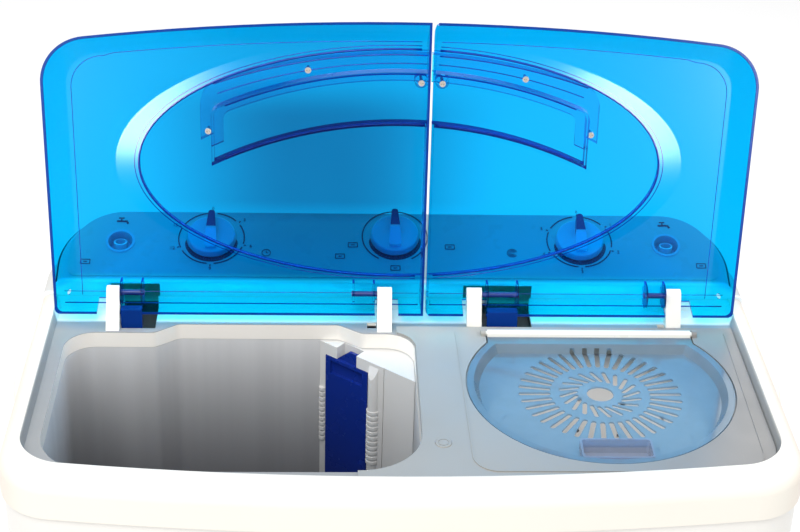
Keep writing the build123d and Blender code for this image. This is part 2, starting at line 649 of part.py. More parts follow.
def control_box(spot, radius, depth):
    """Timer or selector body under the panel, with a bore for the knob's stem."""
    with BuildPart() as piece:
        with BuildSketch(PANEL.offset(-PANEL_WALL - 0.2)):
            with Locations(spot):
                Circle(radius)
        extrude(amount=-depth)
        with BuildSketch(PANEL.offset(-PANEL_WALL - 0.2)):
            with Locations(spot):
                Circle(STEM_R + RUN)
        extrude(amount=-14, mode=Mode.SUBTRACT)
        with BuildSketch(PANEL.offset(-PANEL_WALL - 0.2 - depth)):
            with Locations((spot[0], spot[1])):
                Rectangle(radius, radius * 0.8)
        extrude(amount=-5)
    return piece.part


def water_inlet(spot):
    """Cup in the panel with an upright tube that takes the end of a filling hose."""
    centre = PANEL.from_local_coords(Vector(*spot, 0))
    with BuildPart() as piece:
        with BuildSketch(PANEL.offset(FASCIA_T + 0.1)):
            with Locations(spot):
                Circle(15.8)
        extrude(amount=0.8)
        with BuildSketch(PANEL.offset(-CUP_DEPTH - 2)):
            with Locations(spot):
                Circle(14.6)
        extrude(amount=CUP_DEPTH + 3.2)
        with BuildSketch(PANEL.offset(-CUP_DEPTH)):
            with Locations(spot):
                Circle(12)
        extrude(amount=CUP_DEPTH + 8, taper=-4, mode=Mode.SUBTRACT)
        with BuildSketch(Plane.XY.offset(centre.Z - TUBE_L)):
            with Locations((centre.X, centre.Y)):
                Circle(TUBE_R)
        extrude(amount=TUBE_L)
        with BuildSketch(Plane.XY.offset(centre.Z - TUBE_L - 1)):
            with Locations((centre.X, centre.Y)):
                Circle(TUBE_BORE_R)
        extrude(amount=TUBE_L + 2, mode=Mode.SUBTRACT)
    return piece.part


# ---------------------------------------------------------------- lids
open_a = radians(LID_OPEN)
REAR_EDGE = (
    0,
    HINGE_Y + LID_AXIS_S * cos(open_a) - LID_AXIS_H * sin(open_a),
    HINGE_Z - LID_AXIS_S * sin(open_a) - LID_AXIS_H * cos(open_a),
)
# Lid plane: x to the right, y towards the rear edge, z out of the lid's top face
LID = Plane(origin=REAR_EDGE, x_dir=(1, 0, 0), z_dir=(0, sin(open_a), cos(open_a)))

HANDLE_TOP, HANDLE_TOP_R = 283.5, 560.0     # outer arc of the handle, from the rear edge
POCKET_TOP, POCKET_TOP_R = 266.0, 460.0     # upper and lower arcs of the finger pocket
POCKET_LOW, POCKET_LOW_R = 213.5, 430.0
POCKET_HALF_W = 190.0
HANDLE_HALF_W = 204.0
POCKET_DEPTH = 13.0
ELLIPSE_C = (0.8, -163.6)
ELLIPSE_A, ELLIPSE_B = 268.5, 126.0
DISH_STEP = 1.8             # depth of the flat middle of the ellipse
HANDLE_Z = LID_DEPTH - DISH_STEP + 0.05
SCREWS = {-1: [(-196.0, -200.0), (-94.5, -266.5)], 1: [(125.6, -259.5), (196.0, -200.0)]}
BOSS_SCREWS = {-1: (19.5, -258.0), 1: (40.7, -257.5)}    # these two stand in bosses in the pocket
SCREW_BOSS_R = 7.0
SCREW_R, SCREW_HEAD_R = 1.5, 3.2


def lid_face(side, inset, front_in, rear_in, split_in, corner_r):
    """Plan outline of one lid; side is -1 for the wash lid and 1 for the spin lid."""
    outer = side * (LID_HALF_W - inset)
    split = LID_SPLIT_X + side * (LID_GAP / 2 + split_in)
    mid = (outer + split) / 2

    def front(x):
        return -(LID_LENGTH - front_in) + LID_BOW_R - sqrt(LID_BOW_R**2 - x**2)

    with BuildSketch() as plan:
        with BuildLine():
            ThreePointArc((outer, front(outer)), (mid, front(mid)), (split, front(split)))
            Polyline((split, front(split)), (split, -rear_in), (outer, -rear_in), (outer, front(outer)))
        make_face()
        fillet(plan.vertices().sort_by_distance(Vector(outer, front(outer)))[0], corner_r)
        fillet(plan.vertices().sort_by_distance(Vector(outer, -rear_in))[0], 6)
    return plan.sketch


def tray(side, inset, height, corner_drop):
    """Tapered block of one lid, from its rim plane up to height."""
    share = height / LID_DEPTH
    with BuildPart() as block:
        with BuildSketch(LID):
            add(lid_face(side, inset, inset, inset, inset, LID_CORNER_R - inset))
        with BuildSketch(LID.offset(height)):
            add(
                lid_face(
                    side,
                    inset + LID_SIDE * share,
                    inset + LID_FRONT * share,
                    inset + LID_REAR * share,
                    inset + LID_SPLIT * share,
                    LID_CORNER_R - inset - corner_drop,
                )
            )
        loft(ruled=True)
    return block.part


def arch_face(top, top_r, low, low_r, half_w, corner_r):
    """Crescent between an upper and a lower arc, with upright ends."""
    def y_at(s, r, x):
        return -(s - (r - sqrt(r * r - x * x)))

    with BuildSketch() as plan:
        with BuildLine():
            upper = [(-half_w, y_at(top, top_r, half_w)), (0, -top), (half_w, y_at(top, top_r, half_w))]
            lower = [(-half_w, y_at(low, low_r, half_w)), (0, -low), (half_w, y_at(low, low_r, half_w))]
            ThreePointArc(*upper)
            ThreePointArc(*lower)
            Line(upper[0], lower[0])
            Line(upper[2], lower[2])
        make_face()
        if corner_r:
            fillet(plan.vertices().group_by(Axis.Y)[0], corner_r)
    return plan.sketch


def half_of(side):
    """Prism that covers one lid's side of the split, for trimming what runs across both."""
    x0 = LID_SPLIT_X + side * LID_GAP / 2
    with BuildPart() as prism:
        with BuildSketch(LID.offset(-60)):
            with Locations((x0 + side * 250, -160)):
                Rectangle(500, 500)
        extrude(amount=160)
    return prism.part


def ellipse_dish(top):
    """Bevelled elliptical dish in the lid's top face, with a sharp step to a flat middle."""
    with BuildPart() as dish:
        with BuildSketch(LID.offset(top)):
            with Locations(ELLIPSE_C):
                Ellipse(ELLIPSE_A + 24, ELLIPSE_B + 9)
        with BuildSketch(LID.offset(top - 4)):
            with Locations(ELLIPSE_C):
                Ellipse(ELLIPSE_A, ELLIPSE_B)
        loft(ruled=True)
        with BuildSketch(LID.offset(top - 4)):
            with Locations(ELLIPSE_C):
                Ellipse(ELLIPSE_A - 1, ELLIPSE_B - 1)
        extrude(amount=4 - DISH_STEP, mode=Mode.SUBTRACT)
    return dish.part


def arch_block(grow, z0, z1):
    """Block of the finger pocket's crescent, grown all round."""
    with BuildPart() as block:
        with BuildSketch(LID.offset(z0)):
            add(
                arch_face(
                    POCKET_TOP + grow,
                    POCKET_TOP_R,
                    POCKET_LOW - grow,
                    POCKET_LOW_R,
                    POCKET_HALF_W + grow,
                    12,
                )
            )
        extrude(amount=z1 - z0)
    return block.part


EAR_T = 2.2
EARS = {-1: [-290.7, -268.7, -45.7, -24.1], 1: [96.4, 128.8, 266.6, 286.0]}
STOP_ARMS = {-1: (-290.7, -268.7), 1: (96.4, 128.8)}
NOTCHES = {-1: [(-316.0, -291.9), (-22.9, 2.0)], 1: [(71.0, 95.2), (287.2, 317.0)]}
EAR_R = 13.5
ARM_REAR, ARM_LOW, ARM_HIGH = 15.0, -2.5, 9.0

dish_outer = ellipse_dish(LID_DEPTH)
dish_inner = ellipse_dish(LID_DEPTH - LID_T)
pocket_cut = arch_block(0, LID_DEPTH - POCKET_DEPTH, LID_DEPTH + 10)
pocket_skin = arch_block(LID_T, LID_DEPTH - POCKET_DEPTH - LID_T, LID_DEPTH)


def lid_section(x):
    """Plane across the lid at x: local x towards the rear edge, local y out of the top face."""
    return Plane(
        origin=(x, REAR_EDGE[1], REAR_EDGE[2]),
        x_dir=LID.y_dir,
        z_dir=(1, 0, 0),
    )


def make_lid(side):
    """Transparent tray-shaped lid with dished ellipse, half a finger pocket, ears and stop arm."""
    outer = tray(side, 0, LID_DEPTH, 14)
    inner = tray(side, LID_T, LID_DEPTH - LID_T, 14)
    half = half_of(side)
    with BuildPart() as cavity:
        add(inner)
        add(dish_inner, mode=Mode.SUBTRACT)
        add(pocket_skin, mode=Mode.SUBTRACT)
    with BuildPart() as shell:
        add(outer)
        fillet(shell.faces().sort_by_distance(LID.offset(LID_DEPTH).origin + LID.y_dir * -160)[0].edges(), 5)
        add(dish_outer, mode=Mode.SUBTRACT)
        add(cavity.part, mode=Mode.SUBTRACT)
        add(pocket_cut, mode=Mode.SUBTRACT)
        for x in EARS[side]:
            with BuildSketch(lid_section(x - EAR_T / 2)):
                with Locations((-LID_AXIS_S, LID_AXIS_H)):
                    Circle(EAR_R)
                with Locations((-LID_AXIS_S, (LID_AXIS_H + LID_DEPTH - LID_T / 2) / 2)):
                    Rectangle(2 * EAR_R, LID_DEPTH - LID_T / 2 - LID_AXIS_H)
            extrude(amount=EAR_T)
        x0, x1 = STOP_ARMS[side]
        with BuildSketch(lid_section(x0)):
            with BuildLine():
                Polyline(
                    (ARM_REAR, ARM_LOW), (ARM_REAR, ARM_HIGH), (-6.0, ARM_HIGH), (-6.0, ARM_LOW), close=True
                )
            make_face()
        extrude(amount=x1 - x0)
        with BuildSketch(lid_section(x0 + EAR_T / 2)):
            with Locations((3.5, ARM_LOW + 7.5)):
                Rectangle(17, 8)
        extrude(amount=x1 - x0 - EAR_T, mode=Mode.SUBTRACT)
        for x0, x1 in NOTCHES[side]:
            with BuildSketch(lid_section(x0)):
                with Locations((10 - 8, 20)):
                    Rectangle(20, 60)
            extrude(amount=x1 - x0, mode=Mode.SUBTRACT)
        with BuildSketch(lid_section(-BODY_W / 2)):
            with Locations((-LID_AXIS_S, LID_AXIS_H)):
                Circle(PIN_R + RUN)
        extrude(amount=BODY_W, mode=Mode.SUBTRACT)
        with BuildSketch(LID.offset(LID_DEPTH - POCKET_DEPTH - LID_T)):
            with Locations(BOSS_SCREWS[side]):
                Circle(SCREW_BOSS_R)
        extrude(amount=POCKET_DEPTH + LID_T - DISH_STEP)
        with BuildSketch(LID):
            with Locations(*SCREWS[side], BOSS_SCREWS[side]):
                Circle(SCREW_R + 0.2)
        extrude(amount=LID_DEPTH + 5, mode=Mode.SUBTRACT)
        add(half, mode=Mode.INTERSECT)
    return shell.part


def make_handle(side):
    """Half of the arched grip that is screwed over the finger pocket, with its overhanging lip."""
    with BuildPart() as grip:
        with BuildSketch(LID.offset(HANDLE_Z)):
            add(arch_face(HANDLE_TOP, HANDLE_TOP_R, 240.0, POCKET_LOW_R, HANDLE_HALF_W, 26))
            add(
                arch_face(POCKET_TOP, POCKET_TOP_R, 120.0, POCKET_LOW_R, POCKET_HALF_W, 14),
                mode=Mode.SUBTRACT,
            )
        extrude(amount=9)
        with BuildSketch(LID.offset(HANDLE_Z + 5)):
            add(arch_face(POCKET_TOP + 3, POCKET_TOP_R, 225.0, POCKET_LOW_R, POCKET_HALF_W + 3, 14))
            add(
                arch_face(POCKET_TOP - 13, POCKET_TOP_R, 120.0, POCKET_LOW_R, POCKET_HALF_W - 9, 10),
                mode=Mode.SUBTRACT,
            )
        extrude(amount=4)
        with BuildSketch(LID.offset(HANDLE_Z)):
            with Locations(*SCREWS[side], BOSS_SCREWS[side]):
                Circle(6)
        extrude(amount=9)
        with BuildSketch(LID.offset(HANDLE_Z)):
            with Locations(*SCREWS[side], BOSS_SCREWS[side]):
                Circle(SCREW_R + 0.02)
        extrude(amount=7, mode=Mode.SUBTRACT)
        add(half_of(side), mode=Mode.INTERSECT)
    return grip.part


def make_lid_screws(side):
    """Steel screws, driven from inside the lid into the handle."""
    skin = LID_DEPTH - DISH_STEP - LID_T - 0.1
    with BuildPart() as group:
        for spots, seat in (
            (SCREWS[side], skin),
            ([BOSS_SCREWS[side]], LID_DEPTH - POCKET_DEPTH - LID_T - 0.1),
        ):
            with BuildSketch(LID.offset(seat - 2.6)):
                with Locations(*spots):
                    Circle(SCREW_HEAD_R)
            extrude(amount=2.6)
            with BuildSketch(LID.offset(seat - 2.6)):
                with Locations(*spots):
                    Rectangle(4, 0.9)
                    Rectangle(0.9, 4)
            extrude(amount=1, mode=Mode.SUBTRACT)
            with BuildSketch(LID.offset(seat)):
                with Locations(*spots):
                    Circle(SCREW_R)
            extrude(amount=HANDLE_Z + 6 - seat)
    return group.part


wash_lid = make_lid(-1)
spin_lid = make_lid(1)
wash_lid_handle = make_handle(-1)
spin_lid_handle = make_handle(1)
wash_lid_screws = make_lid_screws(-1)
spin_lid_screws = make_lid_screws(1)

# ---------------------------------------------------------------- hinge posts and pins
POSTS = [(-306.0, -292.0), (-20.5, -5.0), (75.0, 90.7), (288.0, 304.0)]
PINS = [(-305.4, -266.8), (-47.6, -5.6), (75.6, 130.8), (264.6, 303.4)]
POST_R = 7.4
POST_FRONT_Y, POST_REAR_Y = 81.5, 116.0

with BuildPart() as hinge_posts:
    for x0, x1 in POSTS:
        front = PLATE_REAR_Y + 0.4 if x0 > 0 else POST_FRONT_Y
        reach = sqrt((HINGE_Y - front) ** 2 + (HINGE_Z - DECK_Z) ** 2)
        lean = atan2(HINGE_Z - DECK_Z, HINGE_Y - front) + atan2(POST_R, reach)
        touch = (HINGE_Y - POST_R * sin(lean), HINGE_Z + POST_R * cos(lean))
        with BuildSketch(Plane.YZ.offset(x0)):
            with BuildLine():
                Polyline(
                    (front, DECK_Z),
                    touch,
                    (HINGE_Y, HINGE_Z),
                    (POST_REAR_Y, HINGE_Z),
                    (POST_REAR_Y, DECK_Z),
                    close=True,
                )
            make_face()
            with Locations((HINGE_Y, HINGE_Z)):
                Circle(POST_R)
        extrude(amount=x1 - x0)
        with BuildSketch(Plane.YZ.offset(x0)):
            with Locations((HINGE_Y, HINGE_Z)):
                Circle(PIN_R + 0.01)
        extrude(amount=x1 - x0, mode=Mode.SUBTRACT)

with BuildPart() as hinge_pins:
    for x0, x1 in PINS:
        with BuildSketch(Plane.YZ.offset(x0)):
            with Locations((HINGE_Y, HINGE_Z)):
                Circle(PIN_R)
        extrude(amount=x1 - x0)

# ---------------------------------------------------------------- wash tub, pulsator, lint filter
PULSATOR_R = 112.0
PULSATOR_Z = 350.0
VANES = 4
GEARBOX_NECK_R = 16.0
WASH_DRAIN = (-20.0, 40.0)
SPIN_DRAIN = (130.0, 60.0)
PIPE_R, PIPE_BORE_R = 13.0, 10.0

with BuildPart() as wash_tub:
    with BuildSketch(Plane.XY.offset(WASH_TUB_FLOOR_Z)):
        add(tub_mouth_face(TUB_WALL))
    extrude(amount=WASH_TUB_TOP_Z - WASH_TUB_FLOOR_Z)
    with BuildSketch(Plane.XY.offset(WASH_TUB_TOP_Z - 2.5)):
        add(tub_mouth_face(TUB_WALL + 2))
    extrude(amount=2.5)
    with BuildSketch(Plane.XY.offset(WASH_TUB_FLOOR_Z + 4)):
        add(tub_mouth_face(0))
    extrude(amount=WASH_TUB_TOP_Z, mode=Mode.SUBTRACT)
    with BuildSketch(Plane.XY.offset(WASH_TUB_FLOOR_Z)):
        with Locations((WASH_X, WASH_Y)):
            Circle(GEARBOX_NECK_R + 0.3)
        with Locations(WASH_DRAIN):
            Circle(PIPE_BORE_R)
    extrude(amount=10, mode=Mode.SUBTRACT)

with BuildPart() as pulsator:
    with BuildSketch(Plane.XY.offset(PULSATOR_Z)):
        with Locations((WASH_X, WASH_Y)):
            Circle(PULSATOR_R)
    extrude(amount=7)
    fillet(pulsator.faces().sort_by(Axis.Z)[-1].edges(), 5)
    with BuildSketch(Plane.XY.offset(PULSATOR_Z + 5)):
        with Locations((WASH_X, WASH_Y)):
            Circle(40)
    extrude(amount=18, taper=35)
    with BuildSketch(Plane.XY.offset(PULSATOR_Z + 5)):
        with Locations((WASH_X, WASH_Y)):
            with PolarLocations(58, VANES):
                SlotOverall(96, 20)
    extrude(amount=13, taper=25)
    with BuildSketch(Plane.XY.offset(PULSATOR_Z)):
        with Locations((WASH_X, WASH_Y)):
            Circle(WASH_SHAFT_R)
    extrude(amount=16, mode=Mode.SUBTRACT)
    with BuildSketch(Plane.XY.offset(PULSATOR_Z)):
        with Locations((WASH_X, WASH_Y)):
            Circle(3.05)
    extrude(amount=40, mode=Mode.SUBTRACT)
    with BuildSketch(Plane.XY.offset(PULSATOR_Z + 19)):
        with Locations((WASH_X, WASH_Y)):
            Circle(8.2)
    extrude(amount=20, mode=Mode.SUBTRACT)

with BuildPart() as pulsator_screw:
    with BuildSketch(Plane.XY.offset(PULSATOR_Z + 19)):
        with Locations((WASH_X, WASH_Y)):
            Circle(7)
    extrude(amount=4)
    with BuildSketch(Plane.XY.offset(PULSATOR_Z + 21)):
        with Locations((WASH_X, WASH_Y)):
            Rectangle(11, 1.6)
    extrude(amount=3, mode=Mode.SUBTRACT)
    with BuildSketch(Plane.XY.offset(PULSATOR_Z + 4)):
        with Locations((WASH_X, WASH_Y)):
            Circle(3)
    extrude(amount=15)

WASH_SHAFT_Z0, WASH_SHAFT_Z1 = 190.0, PULSATOR_Z + 16
with BuildPart() as wash_shaft:
    with BuildSketch(Plane.XY.offset(WASH_SHAFT_Z0)):
        with Locations((WASH_X, WASH_Y)):
            Circle(WASH_SHAFT_R)
    extrude(amount=WASH_SHAFT_Z1 - WASH_SHAFT_Z0)
    with BuildSketch(Plane.XY.offset(PULSATOR_Z + 3)):
        with Locations((WASH_X, WASH_Y)):
            Circle(3.05)
    extrude(amount=20, mode=Mode.SUBTRACT)

# The filter housing stands across the corner; u is measured along its front face from the left end
NOTCH_U0, NOTCH_U1 = 24.5, 50.0
COLUMN_U, COLUMN_R, RIB_R = 74.1, 6.0, 7.2
COLUMN_TOP_Z, LEFT_RIB_U, LEFT_RIB_R = 795.0, 4.3, 3.8
RIB_ZS = [738.6 - 6.4 * i for i in range(11)]
FILTER_Z0 = WASH_TUB_FLOOR_Z + 4.2
INSERT_T, INSERT_BACK = 6.5, 5.5    # thickness, and how far it stands behind the housing's front face
INSERT_U = (INSERT_U0 + INSERT_U1) / 2
ALONG = Vector(cos(radians(FILTER_ANGLE)), sin(radians(FILTER_ANGLE)), 0)
OUTWARD = Vector(sin(radians(FILTER_ANGLE)), -cos(radians(FILTER_ANGLE)), 0)


def filter_plane(z):
    """Horizontal plane at the left end of the filter's front face: x along it, y into the corner."""
    return Plane(origin=(*FILTER_LEFT, z), x_dir=ALONG, z_dir=(0, 0, 1))


def corner_block(back_off, inset, z0, z1):
    """The corner of the tub behind the filter's front face, clear of the tub wall by inset."""
    with BuildPart() as block:
        with BuildSketch(filter_plane(z0)):
            with BuildLine():
                Polyline(
                    (-2, back_off), (FILTER_REACH, back_off), (FILTER_REACH, 120), (-2, 120), close=True
                )
            make_face()
        extrude(amount=z1 - z0)
        with BuildSketch(Plane.XY.offset(z0)):
            add(tub_mouth_face(-inset))
        extrude(amount=z1 - z0, mode=Mode.INTERSECT)
    return block.part


filter_outer = corner_block(0, 0.4, FILTER_Z0, FILTER_TOP_Z)
filter_void = corner_block(17, 3.4, FILTER_Z0, FILTER_TOP_Z - 4)

with BuildPart() as filter_housing:
    add(filter_outer)
    add(filter_void, mode=Mode.SUBTRACT)
    # half-round column with a bevelled top, and the ribs on both sides of the filter
    with BuildSketch(filter_plane(FILTER_Z0)):
        with Locations((COLUMN_U, 0)):
            Circle(COLUMN_R)
    extrude(amount=COLUMN_TOP_Z - FILTER_Z0)
    with BuildSketch(Plane(Vector(*FILTER_LEFT, 0) + ALONG * (COLUMN_U + 10), x_dir=OUTWARD, z_dir=-ALONG)):
        with BuildLine():
            low, high = COLUMN_TOP_Z - 26, COLUMN_TOP_Z + 1
            Polyline((0, COLUMN_TOP_Z), (12, low), (12, high), (0, high), close=True)
        make_face()
    extrude(amount=20, mode=Mode.SUBTRACT)
    for z in RIB_ZS:
        with BuildSketch(filter_plane(z)):
            with Locations((COLUMN_U, 0)):
                Circle(RIB_R)
            with Locations((LEFT_RIB_U, 0)):
                Circle(LEFT_RIB_R)
        extrude(amount=3.2)
    # pocket for the filter, open to the front, with a notch above it for the tab
    with BuildSketch(filter_plane(INSERT_Z0 - 0.5)):
        with Locations((INSERT_U, INSERT_BACK + 0.5 - 12)):
            Rectangle(INSERT_U1 - INSERT_U0 + 1, 24)
    extrude(amount=INSERT_Z1 - INSERT_Z0 + 1, mode=Mode.SUBTRACT)
    with BuildSketch(filter_plane(INSERT_Z1 - 10)):
        with Locations(((NOTCH_U0 + NOTCH_U1) / 2, 0)):
            Rectangle(NOTCH_U1 - NOTCH_U0 + 1, 26)
    extrude(amount=FILTER_TOP_Z - INSERT_Z1 + 20, mode=Mode.SUBTRACT)
    # seam beside the column
    with BuildSketch(filter_plane(FILTER_Z0)):
        with Locations((FILTER_FACE_L, 0)):
            Rectangle(1, 2.6)
    extrude(amount=FILTER_TOP_Z - FILTER_Z0, mode=Mode.SUBTRACT)
    # passage for the circulating water under the filter
    with BuildSketch(filter_plane(FILTER_Z0)):
        with Locations((INSERT_U, 0)):
            Rectangle(40, 60)
    extrude(amount=60, mode=Mode.SUBTRACT)
    with BuildSketch(Plane.XY.offset(FILTER_Z0)):
        add(tub_mouth_face(-0.4))
    extrude(amount=FILTER_TOP_Z - FILTER_Z0, mode=Mode.INTERSECT)

with BuildPart() as lint_filter:
    with BuildSketch(filter_plane(INSERT_Z0)):
        with Locations((INSERT_U, INSERT_BACK - INSERT_T / 2)):
            Rectangle(INSERT_U1 - INSERT_U0, INSERT_T)
    extrude(amount=INSERT_Z1 - INSERT_Z0)
    fillet(lint_filter.edges().filter_by(Axis.Z), 1)
    # tab with a slanting shoulder, set back in the notch
    with BuildSketch(Plane(Vector(*FILTER_LEFT, 0) - OUTWARD * INSERT_BACK, x_dir=ALONG, z_dir=OUTWARD)):
        with BuildLine():
            Polyline(
                (NOTCH_U0 + 0.6, INSERT_Z1 - 1),
                (NOTCH_U0 + 0.6, INSERT_Z1 + 1.5),
                (NOTCH_U0 + 14, FILTER_TOP_Z - 1),
                (NOTCH_U1 - 0.6, FILTER_TOP_Z - 1),
                (NOTCH_U1 - 0.6, INSERT_Z1 - 1),
                close=True,
            )
        make_face()
    extrude(amount=3)
    # finger recess below the top edge
    with BuildSketch(filter_plane(INSERT_Z1 - 20)):
        with Locations((INSERT_U, -1)):
            RectangleRounded(INSERT_U1 - INSERT_U0 - 14, 8, 2.5)
    extrude(amount=16, mode=Mode.SUBTRACT)

# ---------------------------------------------------------------- spinner tub and basket
BASKET_WALL = 1.6
HOLE_ROWS = [BASKET_FLOOR_Z + 40 + 42 * i for i in range(9)]
HOLE_COLUMNS = 16

with BuildPart() as spin_outer_tub:
    with BuildSketch(Plane.XY.offset(SPIN_TUB_FLOOR_Z)):
        with Locations((SPIN_X, SPIN_Y)):
            Circle(SPIN_TUB_R)
    extrude(amount=SPIN_TUB_TOP_Z - SPIN_TUB_FLOOR_Z)
    with BuildSketch(Plane.XY.offset(SPIN_TUB_FLOOR_Z + 4)):
        with Locations((SPIN_X, SPIN_Y)):
            Circle(SPIN_TUB_R - TUB_WALL)
    extrude(amount=SPIN_TUB_TOP_Z, mode=Mode.SUBTRACT)
    with BuildSketch(Plane.XY.offset(SPIN_TUB_FLOOR_Z)):
        with Locations((SPIN_X, SPIN_Y)):
            Circle(30)
        with Locations(SPIN_DRAIN):
            Circle(PIPE_BORE_R)
    extrude(amount=10, mode=Mode.SUBTRACT)

with BuildPart() as spin_seal:
    with BuildSketch(Plane.XY.offset(SPIN_TUB_FLOOR_Z - 14)):
        with Locations((SPIN_X, SPIN_Y)):
            Circle(29.8)
    extrude(amount=20)
    with BuildSketch(Plane.XY.offset(SPIN_TUB_FLOOR_Z + 6)):
        with Locations((SPIN_X, SPIN_Y)):
            Circle(26)
    extrude(amount=10, taper=30)
    with BuildSketch(Plane.XY.offset(SPIN_TUB_FLOOR_Z - 14)):
        with Locations((SPIN_X, SPIN_Y)):
            Circle(SPIN_SHAFT_R + RUN)
    extrude(amount=40, mode=Mode.SUBTRACT)

with BuildPart() as basket_hollow:
    with BuildSketch(Plane.XY.offset(BASKET_FLOOR_Z + BASKET_WALL)):
        with Locations((SPIN_X, SPIN_Y)):
            Circle(BASKET_R - BASKET_WALL)
    extrude(amount=BASKET_TOP_Z - BASKET_FLOOR_Z - 22)
    fillet(basket_hollow.faces().sort_by(Axis.Z)[0].edges(), 14 - BASKET_WALL)

with BuildPart() as spin_basket:
    with BuildSketch(Plane.XY.offset(BASKET_FLOOR_Z)):
        with Locations((SPIN_X, SPIN_Y)):
            Circle(BASKET_R)
    extrude(amount=BASKET_TOP_Z - BASKET_FLOOR_Z)
    fillet(spin_basket.faces().sort_by(Axis.Z)[0].edges(), 14)
    add(basket_hollow.part, mode=Mode.SUBTRACT)
    with BuildSketch(Plane.XY.offset(BASKET_TOP_Z - 30)):
        with Locations((SPIN_X, SPIN_Y)):
            Circle(BASKET_R - 11)
    extrude(amount=40, mode=Mode.SUBTRACT)
    fillet(spin_basket.edges().filter_by_position(Axis.Z, BASKET_TOP_Z - 1, BASKET_TOP_Z + 1), 3)
    with BuildSketch(Plane.XY.offset(BASKET_FLOOR_Z)):
        with Locations((SPIN_X, SPIN_Y)):
            Circle(34)
    extrude(amount=22, taper=25)
    with BuildSketch(Plane.XY.offset(BASKET_FLOOR_Z)):
        with Locations((SPIN_X, SPIN_Y)):
            Circle(SPIN_SHAFT_R)
    extrude(amount=14, mode=Mode.SUBTRACT)
    with Locations((SPIN_X, SPIN_Y, 0)):
        with PolarLocations(BASKET_R - BASKET_WALL / 2, HOLE_COLUMNS):
            with Locations([(0, 0, z) for z in HOLE_ROWS]):
                Cylinder(radius=3, height=8, rotation=(0, 90, 0), mode=Mode.SUBTRACT)

with BuildPart() as spin_shaft:
    with BuildSketch(Plane.XY.offset(SPIN_MOTOR_Z0 + 10)):
        with Locations((SPIN_X, SPIN_Y)):
            Circle(SPIN_SHAFT_R)
    extrude(amount=BASKET_FLOOR_Z + 14 - SPIN_MOTOR_Z0 - 10)

# ---------------------------------------------------------------- spin motor, brake
MOUNT_R, MOUNT_RING = 14.0, 52.0

with BuildPart() as spin_motor:
    with BuildSketch(Plane.XY.offset(SPIN_MOTOR_Z0 - 6)):
        with Locations((SPIN_X, SPIN_Y)):
            Circle(SPIN_MOTOR_R + 10)
    extrude(amount=6)
    with BuildSketch(Plane.XY.offset(SPIN_MOTOR_Z0)):
        with Locations((SPIN_X, SPIN_Y)):
            Circle(SPIN_MOTOR_R)
    extrude(amount=SPIN_MOTOR_Z1 - SPIN_MOTOR_Z0)
    fillet(spin_motor.faces().sort_by(Axis.Z)[-1].edges(), 12)
    with BuildSketch(Plane.XY.offset(SPIN_MOTOR_Z0)):
        with Locations((SPIN_X, SPIN_Y)):
            Circle(SPIN_SHAFT_R + RUN)
    extrude(amount=200, mode=Mode.SUBTRACT)

with BuildPart() as spin_motor_mounts:
    with BuildSketch(Plane.XY.offset(FOOT_H + 5)):
        with Locations((SPIN_X, SPIN_Y)):
            with PolarLocations(MOUNT_RING, 3, start_angle=90):
                Circle(MOUNT_R)
    extrude(amount=SPIN_MOTOR_Z0 - 6 - FOOT_H - 5)

with BuildPart() as brake_drum:
    with BuildSketch(Plane.XY.offset(DRUM_Z0)):
        with Locations((SPIN_X, SPIN_Y)):
            Circle(DRUM_R)
            Circle(SPIN_SHAFT_R, mode=Mode.SUBTRACT)
    extrude(amount=DRUM_Z1 - DRUM_Z0)
    for z in (DRUM_Z0, DRUM_Z1 - 10):
        with BuildSketch(Plane.XY.offset(z)):
            with Locations((SPIN_X, SPIN_Y)):
                Circle(DRUM_R - 5)
                Circle(18, mode=Mode.SUBTRACT)
        extrude(amount=10, mode=Mode.SUBTRACT)

BRAKE_COLUMN = (318.0, 62.0)
with BuildPart() as brake_bracket:
    with BuildSketch(Plane.XY.offset(DRUM_Z0 - 12)):
        with Locations(((BRAKE_PIVOT[0] + BRAKE_COLUMN[0]) / 2, (BRAKE_PIVOT[1] + BRAKE_COLUMN[1]) / 2)):
            SlotOverall(62, 24, rotation=38)
    extrude(amount=5)
    with BuildSketch(Plane.XY.offset(DRUM_Z0 - 12)):
        with Locations(BRAKE_COLUMN):
            Circle(7)
    extrude(amount=SPIN_TUB_FLOOR_Z - DRUM_Z0 + 12)
    with BuildSketch(Plane.XY.offset(DRUM_Z0 - 12)):
        with Locations(BRAKE_PIVOT):
            Circle(4)
    extrude(amount=DRUM_Z1 - DRUM_Z0 + 20)

SHOE_GAP = 0.6
with BuildPart() as brake_lever:
    with BuildSketch(Plane.XY.offset(DRUM_Z0)):
        with Locations(BRAKE_PIVOT):
            Circle(9)
        with BuildLine():
            Polyline(
                (BRAKE_PIVOT[0] - 9, BRAKE_PIVOT[1]),
                (SPIN_X + DRUM_R + 4, SPIN_Y + 20),
                (SPIN_X + DRUM_R + 4, SPIN_Y - 22),
                (SPIN_X + DRUM_R + 14, SPIN_Y - 22),
                (SPIN_X + DRUM_R + 14, SPIN_Y + 20),
                (BRAKE_PIVOT[0] + 9, BRAKE_PIVOT[1]),
                close=True,
            )
        make_face()
        with Locations((SPIN_X + DRUM_R + SHOE_GAP + 3, SPIN_Y)):
            Rectangle(6, 36)
        with Locations(BRAKE_PIVOT):
            Circle(4 + RUN, mode=Mode.SUBTRACT)
    extrude(amount=DRUM_Z1 - DRUM_Z0)

# ---------------------------------------------------------------- wash drive
CHASSIS_LEGS = [(-109.0, -88.0), (-204.0, -106.0), (-144.0, 19.0), (-309.0, -28.0), (-234.0, 72.0)]

